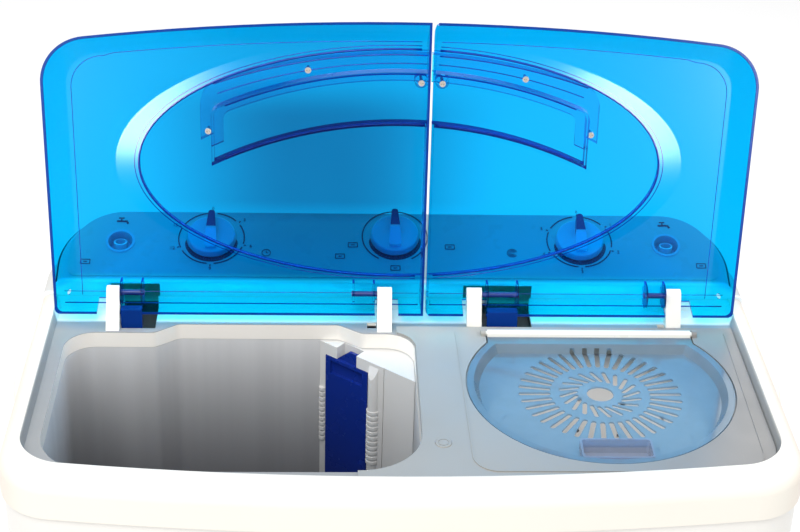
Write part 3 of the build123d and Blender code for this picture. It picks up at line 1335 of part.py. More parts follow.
with BuildPart() as drive_chassis:
    with BuildSketch(Plane.XY.offset(CHASSIS_Z)):
        with Locations((WASH_X, WASH_Y)):
            Circle(72)
        with Locations((MOTOR_X, MOTOR_Y)):
            Circle(68)
        make_hull()
        with Locations((WASH_X, WASH_Y)):
            Circle(20, mode=Mode.SUBTRACT)
        with Locations((MOTOR_X, MOTOR_Y)):
            Circle(16, mode=Mode.SUBTRACT)
    extrude(amount=CHASSIS_T)
    with BuildSketch(Plane.XY.offset(CHASSIS_Z + CHASSIS_T)):
        with Locations(*CHASSIS_LEGS):
            Circle(7)
    extrude(amount=WASH_TUB_FLOOR_Z - CHASSIS_Z - CHASSIS_T)
    with BuildSketch(Plane.XY.offset(CHASSIS_Z - 4)):
        with Locations(*CHASSIS_LEGS):
            Circle(3.02)
    extrude(amount=24.5, mode=Mode.SUBTRACT)

with BuildPart() as chassis_bolts:
    with BuildSketch(Plane.XY.offset(CHASSIS_Z - 4)):
        with Locations(*CHASSIS_LEGS):
            RegularPolygon(6, 6)
    extrude(amount=4)
    with BuildSketch(Plane.XY.offset(CHASSIS_Z - 4)):
        with Locations(*CHASSIS_LEGS):
            Circle(3)
    extrude(amount=24)

with BuildPart() as gearbox:
    with BuildSketch(Plane.XY.offset(CHASSIS_Z + CHASSIS_T)):
        with Locations((WASH_X, WASH_Y)):
            Circle(46)
    extrude(amount=96)
    fillet(gearbox.faces().sort_by(Axis.Z)[-1].edges(), 8)
    with BuildSketch(Plane.XY.offset(CHASSIS_Z + 40)):
        with Locations((WASH_X, WASH_Y)):
            Circle(GEARBOX_NECK_R)
    extrude(amount=PULSATOR_Z - 2 - CHASSIS_Z - 40)
    with BuildSketch(Plane.XY.offset(CHASSIS_Z + CHASSIS_T + 30)):
        with Locations((WASH_X, WASH_Y)):
            Circle(52)
            with PolarLocations(52, 6):
                Circle(6)
    extrude(amount=8)
    with BuildSketch(Plane.XY.offset(CHASSIS_Z)):
        with Locations((WASH_X, WASH_Y)):
            Circle(WASH_SHAFT_R + RUN)
    extrude(amount=200, mode=Mode.SUBTRACT)

with BuildPart() as wash_motor:
    with BuildSketch(Plane.XY.offset(CHASSIS_Z + CHASSIS_T)):
        with Locations((MOTOR_X, MOTOR_Y)):
            Circle(54)
    extrude(amount=92)
    fillet(wash_motor.faces().sort_by(Axis.Z)[-1].edges(), 12)
    with BuildSketch(Plane.XY.offset(CHASSIS_Z + CHASSIS_T)):
        with Locations((MOTOR_X, MOTOR_Y)):
            Circle(MOTOR_SHAFT_R + RUN)
    extrude(amount=80, mode=Mode.SUBTRACT)

with BuildPart() as wash_motor_shaft:
    with BuildSketch(Plane.XY.offset(WASH_SHAFT_Z0)):
        with Locations((MOTOR_X, MOTOR_Y)):
            Circle(MOTOR_SHAFT_R)
    extrude(amount=100)


def pulley(spot, groove_r, bore_r):
    """Flat-belt pulley with a flange above and below the belt."""
    with BuildPart() as piece:
        with BuildSketch(Plane.XY.offset(BELT_Z0)):
            with Locations(spot):
                Circle(groove_r + BELT_T + 2)
                Circle(bore_r, mode=Mode.SUBTRACT)
        extrude(amount=BELT_Z1 - BELT_Z0)
        with BuildSketch(Plane.XY.offset(BELT_Z0 + 2.5)):
            with Locations(spot):
                Circle(groove_r + BELT_T + 3)
                Circle(groove_r, mode=Mode.SUBTRACT)
        extrude(amount=BELT_Z1 - BELT_Z0 - 5, mode=Mode.SUBTRACT)
    return piece.part


with BuildPart() as drive_belt:
    with BuildSketch(Plane.XY.offset(BELT_Z0 + 3)):
        with Locations((WASH_X, WASH_Y)):
            Circle(BIG_PULLEY_R + BELT_GAP + BELT_T)
        with Locations((MOTOR_X, MOTOR_Y)):
            Circle(SMALL_PULLEY_R + BELT_GAP + BELT_T)
        make_hull()
    extrude(amount=BELT_Z1 - BELT_Z0 - 6)
    with BuildSketch(Plane.XY.offset(BELT_Z0 + 3)):
        with Locations((WASH_X, WASH_Y)):
            Circle(BIG_PULLEY_R + BELT_GAP)
        with Locations((MOTOR_X, MOTOR_Y)):
            Circle(SMALL_PULLEY_R + BELT_GAP)
        make_hull()
    extrude(amount=BELT_Z1 - BELT_Z0 - 6, mode=Mode.SUBTRACT)

# ---------------------------------------------------------------- drain
VALVE = (10.0, 168.0, 90.0)     # centre of the drain valve body
VALVE_SIZE = (100.0, 56.0, 70.0)
ROD_R = 4.0

with BuildPart() as drain_valve_body:
    with Locations(VALVE):
        Box(*VALVE_SIZE)
    fillet(drain_valve_body.edges().filter_by(Axis.Z), 8)
    with BuildSketch(Plane.XY.offset(VALVE[2])):
        with Locations((PULL_ROD_X, PULL_ROD_Y)):
            Circle(ROD_R + RUN)
    extrude(amount=60, mode=Mode.SUBTRACT)

with BuildPart() as drain_pipes:
    for start, corner_y in ((WASH_DRAIN, None), (SPIN_DRAIN, VALVE[1])):
        top = WASH_TUB_FLOOR_Z - 0.2 if corner_y is None else SPIN_TUB_FLOOR_Z - 0.2
        path = [(*start, top), (*start, VALVE[2])]
        if corner_y is None:
            path += [(start[0], VALVE[1] - VALVE_SIZE[1] / 2 - 0.2, VALVE[2])]
            radii = [24]
        else:
            path += [(start[0], corner_y, VALVE[2]), (VALVE[0] + VALVE_SIZE[0] / 2 + 0.2, corner_y, VALVE[2])]
            radii = [24, 24]
        with BuildLine() as route:
            FilletPolyline(*path, radius=radii)
        with BuildSketch(Plane(origin=path[0], z_dir=(0, 0, -1))):
            Circle(PIPE_R)
            Circle(PIPE_BORE_R, mode=Mode.SUBTRACT)
        sweep(path=route.line)

OUTLET_Y0 = VALVE[1] + VALVE_SIZE[1] / 2 + 0.2
SPIGOT_Y0, SPIGOT_Y1 = RECESS_WALL_Y + 4.0, REAR_Y - 1.0   # the full-width end that takes the hose

with BuildPart() as drain_outlet:
    for start, end, radius in ((OUTLET_Y0, SPIGOT_Y0, DRAIN_R - 1), (SPIGOT_Y0, SPIGOT_Y1, DRAIN_R)):
        with BuildSketch(Plane.XZ.offset(-start)):
            with Locations((DRAIN_X, DRAIN_Z)):
                Circle(radius)
                Circle(DRAIN_R - 3, mode=Mode.SUBTRACT)
        extrude(amount=start - end)

with BuildPart() as drain_valve_plunger:
    with BuildSketch(Plane.XY.offset(VALVE[2] + 0.5)):
        with Locations((PULL_ROD_X, PULL_ROD_Y)):
            Circle(ROD_R)
    extrude(amount=SHELF_Z + 2 - VALVE[2])

with BuildPart() as capacitor:
    with BuildSketch(Plane.XY.offset(FOOT_H + 5)):
        with Locations((-120, 175)):
            Circle(20)
    extrude(amount=80)
    fillet(capacitor.faces().sort_by(Axis.Z)[-1].edges(), 3)
    with BuildSketch(Plane.XY.offset(FOOT_H + 85)):
        with Locations((-127, 175), (-113, 175)):
            Rectangle(1, 6)
    extrude(amount=9)

with BuildPart() as lid_switch:
    with Locations((225, 131, SHELF_Z - DECK_T - 7)):
        Box(28, 12, 14)
    with Locations((225, 131, SHELF_Z - DECK_T - 15)):
        Box(24, 2, 2)

# ---------------------------------------------------------------- write every sub-part
SUB_PARTS = {
    "feet": feet.part,
    "base_frame": base_frame.part,
    "cabinet": cabinet.part,
    "rear_cover": rear_cover.part,
    "rear_cover_screws": rear_cover_screws.part,
    "top_frame": top_frame.part,
    "hinge_pocket_liners": hinge_pocket_liners.part,
    "side_grips": side_grips.part,
    "spin_deck_plate": spin_deck_plate.part,
    "deck_screw_cap": deck_screw_cap.part,
    "spin_cover": spin_cover.part,
    "spin_cover_cup": spin_cover_cup.part,
    "spin_cover_hinge_bar": spin_cover_hinge_bar.part,
    "control_panel": control_panel.part,
    "fascia": fascia.part,
    "wash_timer_knob": knob(KNOBS["wash_timer"]),
    "drain_selector_knob": knob(KNOBS["drain_selector"]),
    "spin_timer_knob": knob(KNOBS["spin_timer"]),
    "wash_timer": control_box(KNOBS["wash_timer"], 26, 34),
    "drain_selector": control_box(KNOBS["drain_selector"], 20, 26),
    "spin_timer": control_box(KNOBS["spin_timer"], 26, 34),
    "wash_water_inlet": water_inlet(INLETS["wash_water_inlet"]),
    "spin_water_inlet": water_inlet(INLETS["spin_water_inlet"]),
    "wash_lid": wash_lid,
    "spin_lid": spin_lid,
    "wash_lid_handle": wash_lid_handle,
    "spin_lid_handle": spin_lid_handle,
    "wash_lid_screws": wash_lid_screws,
    "spin_lid_screws": spin_lid_screws,
    "hinge_posts": hinge_posts.part,
    "hinge_pins": hinge_pins.part,
    "wash_tub": wash_tub.part,
    "pulsator": pulsator.part,
    "pulsator_screw": pulsator_screw.part,
    "wash_shaft": wash_shaft.part,
    "filter_housing": filter_housing.part,
    "lint_filter": lint_filter.part,
    "spin_outer_tub": spin_outer_tub.part,
    "spin_seal": spin_seal.part,
    "spin_basket": spin_basket.part,
    "spin_shaft": spin_shaft.part,
    "spin_motor": spin_motor.part,
    "spin_motor_mounts": spin_motor_mounts.part,
    "brake_drum": brake_drum.part,
    "brake_bracket": brake_bracket.part,
    "brake_lever": brake_lever.part,
    "drive_chassis": drive_chassis.part,
    "chassis_bolts": chassis_bolts.part,
    "gearbox": gearbox.part,
    "wash_motor": wash_motor.part,
    "wash_motor_shaft": wash_motor_shaft.part,
    "wash_motor_pulley": pulley((MOTOR_X, MOTOR_Y), SMALL_PULLEY_R, MOTOR_SHAFT_R),
    "large_pulley": pulley((WASH_X, WASH_Y), BIG_PULLEY_R, WASH_SHAFT_R),
    "drive_belt": drive_belt.part,
    "drain_valve_body": drain_valve_body.part,
    "drain_pipes": drain_pipes.part,
    "drain_outlet": drain_outlet.part,
    "drain_valve_plunger": drain_valve_plunger.part,
    "capacitor": capacitor.part,
    "lid_switch": lid_switch.part,
}

for name, part in SUB_PARTS.items():
    part.label = name
    export_step(part, f"parts/{name}.step")
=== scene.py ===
import json
from math import cos, pi, radians, sin

import bmesh
import bpy
from mathutils import Matrix, Vector


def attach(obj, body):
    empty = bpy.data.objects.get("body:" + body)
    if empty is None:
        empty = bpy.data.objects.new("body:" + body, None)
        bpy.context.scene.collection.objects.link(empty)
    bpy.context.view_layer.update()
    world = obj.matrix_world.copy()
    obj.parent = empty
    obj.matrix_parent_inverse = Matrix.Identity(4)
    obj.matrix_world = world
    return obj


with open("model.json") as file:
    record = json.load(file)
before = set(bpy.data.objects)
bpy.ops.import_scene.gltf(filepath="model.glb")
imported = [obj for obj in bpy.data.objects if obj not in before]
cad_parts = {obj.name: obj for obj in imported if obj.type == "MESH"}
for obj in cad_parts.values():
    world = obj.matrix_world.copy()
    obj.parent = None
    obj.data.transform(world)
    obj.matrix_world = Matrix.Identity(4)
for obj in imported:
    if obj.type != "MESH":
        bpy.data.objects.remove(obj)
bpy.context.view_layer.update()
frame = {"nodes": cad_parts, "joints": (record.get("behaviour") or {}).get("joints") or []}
NODES = frame["nodes"]
JOINTS = {joint["name"]: joint for joint in frame["joints"]}
BODY = "washer_body"


# ---------------------------------------------------------------- node helpers
class Tree:
    """Short names for building one material's nodes."""

    def __init__(self, name):
        self.mat = bpy.data.materials.new(name)
        self.mat.use_nodes = True
        self.nodes = self.mat.node_tree.nodes
        self.links = self.mat.node_tree.links
        self.nodes.clear()
        self.out = self.nodes.new("ShaderNodeOutputMaterial")

    def add(self, kind, **values):
        node = self.nodes.new(kind)
        for key, value in values.items():
            if key.startswith("in_"):
                self.put(node.inputs[int(key[3:])] if key[3:].isdigit() else
                         node.inputs[key[3:].replace("_", " ")], value)
            else:
                setattr(node, key, value)
        return node

    def put(self, socket, value):
        if isinstance(value, bpy.types.NodeSocket):
            self.links.new(value, socket)
        elif isinstance(value, bpy.types.Node):
            self.links.new(value.outputs[0], socket)
        else:
            if hasattr(socket.default_value, "__len__") and len(socket.default_value) == 4:
                value = (*value, 1.0) if len(value) == 3 else value
            socket.default_value = value

    def coords(self):
        return self.add("ShaderNodeTexCoord").outputs["Object"]

    def normal(self):
        return self.add("ShaderNodeTexCoord").outputs["Normal"]

    def math(self, op, a, b=0.0):
        return self.add("ShaderNodeMath", operation=op, in_0=a, in_1=b).outputs[0]

    def noise(self, scale, detail=3.0, rough=0.5, stretch=(1, 1, 1)):
        place = self.add("ShaderNodeMapping", in_Vector=self.coords(), in_Scale=stretch)
        return self.add("ShaderNodeTexNoise", in_Vector=place, in_Scale=scale, in_Detail=detail,
                        in_Roughness=rough).outputs["Fac"]

    def span(self, value, low, high, to_low=0.0, to_high=1.0, smooth=False):
        return self.add("ShaderNodeMapRange", interpolation_type="SMOOTHSTEP" if smooth else "LINEAR",
                        in_0=value, in_1=low, in_2=high, in_3=to_low, in_4=to_high).outputs[0]

    def mix(self, fac, a, b):
        node = self.add("ShaderNodeMix", data_type="RGBA")
        self.put(node.inputs[0], fac)
        self.put(node.inputs[6], a)
        self.put(node.inputs[7], b)
        return node.outputs[2]

    def axis(self, vector, index):
        return self.add("ShaderNodeSeparateXYZ", in_0=vector).outputs[index]

    def bump(self, height, strength, distance):
        return self.add("ShaderNodeBump", in_Height=height, in_Strength=strength,
                        in_Distance=distance).outputs[0]

    def dot(self, vector, direction):
        return self.add("ShaderNodeVectorMath", operation="DOT_PRODUCT", in_0=vector,
                        in_1=tuple(direction)).outputs["Value"]

    def finish(self, shader):
        self.put(self.out.inputs[0], shader)
        return self.mat


def plastic(name, colour, vary=0.06, rough=0.32, grain=0.12, grain_scale=900.0, coat=0.0):
    """Moulded plastic: slight mottling, a fine moulded texture and roughness that wanders."""
    t = Tree(name)
    broad = t.noise(7.0, 3.0)
    fine = t.noise(grain_scale, 2.0)
    dark = tuple(c * (1 - vary) for c in colour)
    light = tuple(min(1.0, c * (1 + vary * 0.5)) for c in colour)
    tone = t.mix(t.span(broad, 0.3, 0.7), dark, light)
    surface = t.add("ShaderNodeBsdfPrincipled", in_Base_Color=tone,
                    in_Roughness=t.span(t.noise(40.0, 4.0), 0.2, 0.8, rough - 0.05, rough + 0.07),
                    in_Normal=t.bump(fine, grain, 0.0002))
    surface.inputs["Coat Weight"].default_value = coat
    return t.finish(surface)


def metal(name, colour, rough=0.3, stretch=(1, 1, 1), scale=300.0, bump=0.1):
    """Metal with fine machining or casting marks."""
    t = Tree(name)
    marks = t.noise(scale, 4.0, 0.6, stretch)
    tone = t.mix(t.span(marks, 0.3, 0.7), tuple(c * 0.8 for c in colour), colour)
    surface = t.add("ShaderNodeBsdfPrincipled", in_Base_Color=tone, in_Metallic=1.0,
                    in_Roughness=t.span(marks, 0.25, 0.75, rough - 0.08, rough + 0.12),
                    in_Normal=t.bump(marks, bump, 0.0003))
    return t.finish(surface)


# ---------------------------------------------------------------- see-through materials
OPEN = radians(94.06)
LID_OUT = Vector((0.0, sin(OPEN), cos(OPEN)))       # out of the lids' top face when they stand open
LID_UP = Vector((0.0, -cos(OPEN), sin(OPEN)))       # along the open lids, from rear edge to front edge
HINGE = Vector(JOINTS["wash_lid_hinge"]["pos_m"])
LID_AXIS_S, LID_AXIS_H = 0.0188, 0.0146     # hinge axis from the lids' rear edge and rim plane
REAR_EDGE = Vector((0.0, HINGE.y, HINGE.z)) - LID_AXIS_S * LID_UP - LID_AXIS_H * LID_OUT
LID_HALF_W, LID_LENGTH, LID_BOW_R = 0.360, 0.3236, 2.712
SPLIT_X, SPLIT_GAP = 0.0295, 0.0024         # middle and width of the gap between the two lids
ELLIPSE_X, ELLIPSE_S = 0.0008, 0.1636       # centre of the lids' elliptical dish
ELLIPSE_A, ELLIPSE_B = 0.2685, 0.1260
POCKET_TOP, POCKET_TOP_R = 0.2660, 0.460    # arcs of the finger pocket and of the handle
POCKET_LOW, POCKET_LOW_R = 0.2135, 0.430
HANDLE_TOP, HANDLE_TOP_R = 0.2835, 0.560
HANDLE_MID, HANDLE_MID_R = 0.2745, 0.520
POCKET_SIDE = 0.220         # the pocket's end walls, from the middle
POCKET_HALF_Z = 1.060       # above its lower wall, in the middle of the pocket
CLEAR_EDGE = 0.0006         # the rim's end faces lie below this height
PAINTED_SHADE_X, PAINTED_SHADE_REACH = -0.085, 0.21       # middle of the painted shade on the pair of lids, and how far it reaches
# share of the tint that the painted shade keeps
PAINTED_SHADE_TONE = (1.0, 0.60, 0.655)
PAINTED_LIGHT_Z = 0.861              # below this the lids carry painted light: a paler tint for the lit panel wall seen through them


def lid_blue(name, tint, edge_tint, middle=1.0):
    """Clear blue plastic, deep blue where it is seen through its length: rim, ribs and upright walls;
    painted shade darkens its middle, painted light pales its foot and a painted sheen lies on its top wall.
    """
    t = Tree(name)
    place, normal = t.coords(), t.normal()
    x, z = t.axis(place, 0), t.axis(place, 2)
    across = t.math("ABSOLUTE", t.dot(normal, LID_OUT))
    height = t.math("SUBTRACT", t.dot(place, LID_OUT), REAR_EDGE.dot(LID_OUT))
    upright = t.span(across, 0.10, 0.22, 1.0, 0.0)
    # the upper walls of the finger pocket stay light, its lower wall is deep
    arch = t.math("ADD", z, t.math("DIVIDE", t.math("MULTIPLY", x, x), 2 * POCKET_LOW_R))
    near_middle = t.span(t.math("ABSOLUTE", x), POCKET_SIDE - 0.005, POCKET_SIDE + 0.005, 1.0, 0.0)
    in_pocket = t.math("MULTIPLY", t.span(arch, POCKET_HALF_Z - 0.002, POCKET_HALF_Z + 0.002), near_middle)
    upright = t.math("MULTIPLY", upright, t.span(in_pocket, 0.0, 1.0, 1.0, 0.35))
    deep = t.math("MAXIMUM", upright, t.span(height, CLEAR_EDGE / 2, CLEAR_EDGE, 1.0, 0.0))
    # painted shade: the lids are darker in the middle of the pair, below the pocket, where the backdrop seen
    # through them lies in shade
    away = t.math("ABSOLUTE", t.math("SUBTRACT", x, PAINTED_SHADE_X))
    side = t.span(away, 0.02, PAINTED_SHADE_REACH, 1.0, 0.0, smooth=True)
    below_pocket = t.span(z, 1.044, 1.094, 1.0, 0.3, smooth=True)
    level = t.math("MULTIPLY", below_pocket, t.span(z, 0.925, 0.95, 0.42, 1.0))
    shade = t.math("MULTIPLY", t.math("MULTIPLY", side, level), middle)
    shade = t.math("MULTIPLY", shade, t.span(t.noise(4.0, 2.0), 0.3, 0.7, 0.9, 1.0))
    tone = t.mix(shade, tint, tuple(c * k for c, k in zip(tint, PAINTED_SHADE_TONE)))
    # painted light: the lids' foot is paler, for the lit panel wall behind it
    tone = t.mix(t.span(z, PAINTED_LIGHT_Z - 0.005, PAINTED_LIGHT_Z + 0.005, 0.75, 0.0), tone, (0.10, 0.92, 1.0))
    tone = t.mix(deep, tone, edge_tint)
    waves = t.bump(t.noise(11.0, 2.0), 0.04, 0.002)
    clear = t.add("ShaderNodeBsdfTransparent", in_Color=tone)
    # painted light: a milky pale skin only on the wall that faces up when a lid is open, where the light
    # catches it
    painted_sheen = t.span(t.dot(normal, LID_UP), 0.5, 0.66, 0.0, 0.42)
    painted_sheen = t.math("MULTIPLY", painted_sheen, t.span(z, 1.08, 1.11))
    painted_sheen_skin = t.add("ShaderNodeBsdfDiffuse", in_Color=(0.42, 0.60, 0.88))
    deep_skin = t.add("ShaderNodeBsdfDiffuse", in_Color=(0.003, 0.045, 0.30))
    mass = t.add("ShaderNodeMixShader", in_0=t.math("MULTIPLY", deep, 0.72), in_1=clear, in_2=deep_skin)
    mass = t.add("ShaderNodeMixShader", in_0=painted_sheen, in_1=mass, in_2=painted_sheen_skin)
    soft = t.add("ShaderNodeBsdfAnisotropic", in_Color=(1, 1, 1), in_Roughness=0.22, in_Normal=waves)
    mass = t.add("ShaderNodeMixShader", in_0=0.0025, in_1=mass, in_2=soft)
    gloss = t.add("ShaderNodeBsdfAnisotropic", in_Color=(1, 1, 1), in_Roughness=0.06, in_Normal=waves)
    grazing = t.add("ShaderNodeLayerWeight", in_Blend=0.5, in_Normal=waves).outputs["Facing"]
    shine = t.math("MULTIPLY", t.math("POWER", grazing, 5.0), 0.8)
    return t.finish(t.add("ShaderNodeMixShader", in_0=shine, in_1=mass, in_2=gloss))


def royal_bead(name):
    """Deep blue of the moulded lines, with a clear edge to the light."""
    t = Tree(name)
    tone = t.mix(t.span(t.noise(60.0, 3.0), 0.3, 0.7), (0.0, 0.035, 0.30), (0.0, 0.07, 0.44))
    solid = t.add("ShaderNodeBsdfPrincipled", in_Base_Color=tone, in_Roughness=0.25,
                  in_Normal=t.bump(t.noise(300.0, 2.0), 0.05, 0.0003))
    clear = t.add("ShaderNodeBsdfTransparent", in_Color=(0.05, 0.35, 0.85))
    return t.finish(t.add("ShaderNodeMixShader", in_0=0.25, in_1=solid, in_2=clear))


COVER_IOR = 1.35


def clear_plastic(name, tint, body_colour, haze):
    """Milky see-through plastic."""
    t = Tree(name)
    uneven = t.span(t.noise(18.0, 3.0), 0.3, 0.7, haze - 0.05, haze + 0.05)
    ripples = t.bump(t.noise(30.0, 2.0), 0.08, 0.001)
    clear = t.add("ShaderNodeBsdfTransparent", in_Color=tint)
    skin = t.add("ShaderNodeBsdfDiffuse", in_Color=body_colour, in_Normal=ripples)
    deep = t.add("ShaderNodeBsdfTranslucent", in_Color=body_colour, in_Normal=ripples)
    inner = t.add("ShaderNodeMixShader", in_0=0.35, in_1=skin, in_2=deep)
    mass = t.add("ShaderNodeMixShader", in_0=uneven, in_1=clear, in_2=inner)
    gloss = t.add("ShaderNodeBsdfAnisotropic", in_Color=(1, 1, 1), in_Roughness=0.08, in_Normal=ripples)
    grazing = t.add("ShaderNodeLayerWeight", in_Blend=0.5, in_Normal=ripples).outputs["Facing"]
    head_on = ((COVER_IOR - 1) / (COVER_IOR + 1)) ** 2
    shine = t.math("ADD", t.math("MULTIPLY", t.math("POWER", grazing, 5.0), 0.8), head_on)
    return t.finish(t.add("ShaderNodeMixShader", in_0=shine, in_1=mass, in_2=gloss))


def tub_grey(name, top, shaded_bottom, z_top, z_bottom, bend=1.0):
    """Satin grey tub moulding with faint upright draw lines, darker towards the bottom with painted shade.
    """
    t = Tree(name)
    place = t.coords()
    drawn = t.add("ShaderNodeMapping", in_Vector=place, in_Scale=(60, 60, 0.6))
    lines = t.add("ShaderNodeTexNoise", in_Vector=drawn, in_Scale=1.0, in_Detail=2.0).outputs["Fac"]
    # painted shade: the tone darkens from the tub's top down to its bottom
    shade_fade = t.math("POWER", t.span(t.axis(place, 2), z_bottom, z_top), bend)
    tone = t.mix(shade_fade, shaded_bottom, top)
    tone = t.mix(t.span(lines, 0.35, 0.7, 0.0, 0.07), tone, (0.0, 0.0, 0.0))
    surface = t.add("ShaderNodeBsdfPrincipled", in_Base_Color=tone,
                    in_Roughness=t.span(t.noise(30.0, 3.0), 0.2, 0.8, 0.42, 0.54),
                    in_Normal=t.bump(lines, 0.10, 0.0005))
    return t.finish(surface)


BASIN_HALF_W, BASIN_FRONT_Y = 0.361, -0.1955    # inner edge of the rim, on the deck side of it
BASIN_BOW = 5.0             # twice the radius of the deck's bowed front edge
RIM_UNDER_Z, COLLAR_Z = 0.8312, 0.8177
SHORT_RUN = 0.0015


def top_frame_skin(name, rim, side, deck, channel, collar):
    """One moulding in five tones: cream rim, greyer sides, a deck and rear channel greyed by painted shade,
    and a cream collar brightened by painted light.
    """
    t = Tree(name)
    place = t.coords()
    x, y, z = t.axis(place, 0), t.axis(place, 1), t.axis(place, 2)
    out = t.math("ABSOLUTE", x)
    bow = t.math("SUBTRACT", y, t.math("DIVIDE", t.math("MULTIPLY", x, x), BASIN_BOW))
    in_width = t.span(out, BASIN_HALF_W, BASIN_HALF_W + SHORT_RUN, 1.0, 0.0)
    inside = t.math("MULTIPLY", in_width, t.span(bow, BASIN_FRONT_Y, BASIN_FRONT_Y + SHORT_RUN))
    low = t.span(z, RIM_UNDER_Z - 0.0012, RIM_UNDER_Z, 1.0, 0.0)
    tone = t.mix(t.span(out, 0.350, 0.372, smooth=True), rim, side)
    # painted shade: the cream moulding is grey on the deck and blue-grey in the rear channel, for the shade
    # and blue light under the lids
    deck_tone_and_shade = t.mix(t.span(y, 0.078, 0.092, smooth=True), deck, channel)
    # painted shade: the deck darkens towards the left
    deck_tone_and_shade = t.mix(t.span(x, -0.3, 0.1, 0.25, 0.0), deck_tone_and_shade, (0.30, 0.30, 0.31))
    deck_tone_and_shade = t.mix(t.span(y, 0.098, 0.104, smooth=True), deck_tone_and_shade, (0.95, 0.95, 0.93))
    tone = t.mix(t.math("MULTIPLY", inside, low), tone, deck_tone_and_shade)
    # painted light: the cream collar is brighter than the rim
    tone = t.mix(t.math("MULTIPLY", inside, t.span(z, COLLAR_Z - 0.0005, COLLAR_Z, 1.0, 0.0)), tone, collar)
    tone = t.mix(t.span(t.noise(6.0, 3.0), 0.3, 0.7, 0.0, 0.05), tone, (0.2, 0.2, 0.2))
    surface = t.add("ShaderNodeBsdfPrincipled", in_Base_Color=tone,
                    in_Roughness=t.span(t.noise(40.0, 4.0), 0.2, 0.8, 0.34, 0.46),
                    in_Normal=t.bump(t.noise(900.0, 2.0), 0.10, 0.0002))
    surface.inputs["Specular IOR Level"].default_value = 0.3
    return t.finish(surface)


def light_and_shade_gradient(name, first, last, axis, start, end, rough=0.34):
    """Moulded plastic whose tone drifts from one place to another, as painted light and shade."""
    t = Tree(name)
    tone = t.mix(t.span(t.axis(t.coords(), axis), start, end, smooth=True), first, last)
    tone = t.mix(t.span(t.noise(8.0, 3.0), 0.3, 0.7, 0.0, 0.06), tone, (0.0, 0.0, 0.0))
    surface = t.add("ShaderNodeBsdfPrincipled", in_Base_Color=tone,
                    in_Roughness=t.span(t.noise(40.0, 4.0), 0.2, 0.8, rough - 0.04, rough + 0.08),
                    in_Normal=t.bump(t.noise(800.0, 2.0), 0.08, 0.0002))
    surface.inputs["Specular IOR Level"].default_value = 0.4
    return t.finish(surface)


PANEL_FRONT = Vector((0.0, 0.133, 0.8485))
PANEL_OUT = Vector(JOINTS["wash_timer_turn"]["axis"])       # out of the panel's surface
PANEL_UP = Vector((0.0, PANEL_OUT.z, -PANEL_OUT.y))         # up its slope
DISC_TOP = 0.0089           # top of a knob's disc above the panel's slope


def knob_spot(joint):
    """Where a knob's axis meets the panel: x across, p up its slope."""
    place = Vector(JOINTS[joint]["pos_m"])
    return place.x, (place - PANEL_FRONT).dot(PANEL_UP)


WASH_SPOT = knob_spot("wash_timer_turn")
DRAIN_SPOT = knob_spot("drain_selector_turn")
SPIN_SPOT = knob_spot("spin_timer_turn")


def knob_skin(name, spot_p):
    """Pale knob whose pointer is dark blue on its far half, with painted light on its paler near half."""
    t = Tree(name)
    place = t.coords()
    up = t.math("SUBTRACT", t.dot(place, PANEL_UP), PANEL_FRONT.dot(PANEL_UP) + spot_p)
    out = t.math("SUBTRACT", t.dot(place, PANEL_OUT), PANEL_FRONT.dot(PANEL_OUT))
    grip = t.span(out, DISC_TOP, DISC_TOP + 0.0006)
    far_half = t.math("MULTIPLY", grip, t.span(up, 0.0005, 0.0020))
    # painted highlight: the grip's near half is paler, lit on its slope
    lit_near_half = t.math("MULTIPLY", grip, t.span(up, -0.002, -0.001, 1.0, 0.0))
    tone = t.mix(far_half, (0.66, 0.72, 0.78), (0.012, 0.05, 0.20))
    tone = t.mix(lit_near_half, tone, (0.92, 0.94, 0.95))
    tone = t.mix(t.span(t.noise(30.0, 3.0), 0.3, 0.7, 0.0, 0.05), tone, (0.0, 0.0, 0.0))
    surface = t.add("ShaderNodeBsdfPrincipled", in_Base_Color=tone, in_Roughness=0.28,
                    in_Normal=t.bump(t.noise(900.0, 2.0), 0.05, 0.0002))
    return t.finish(surface)


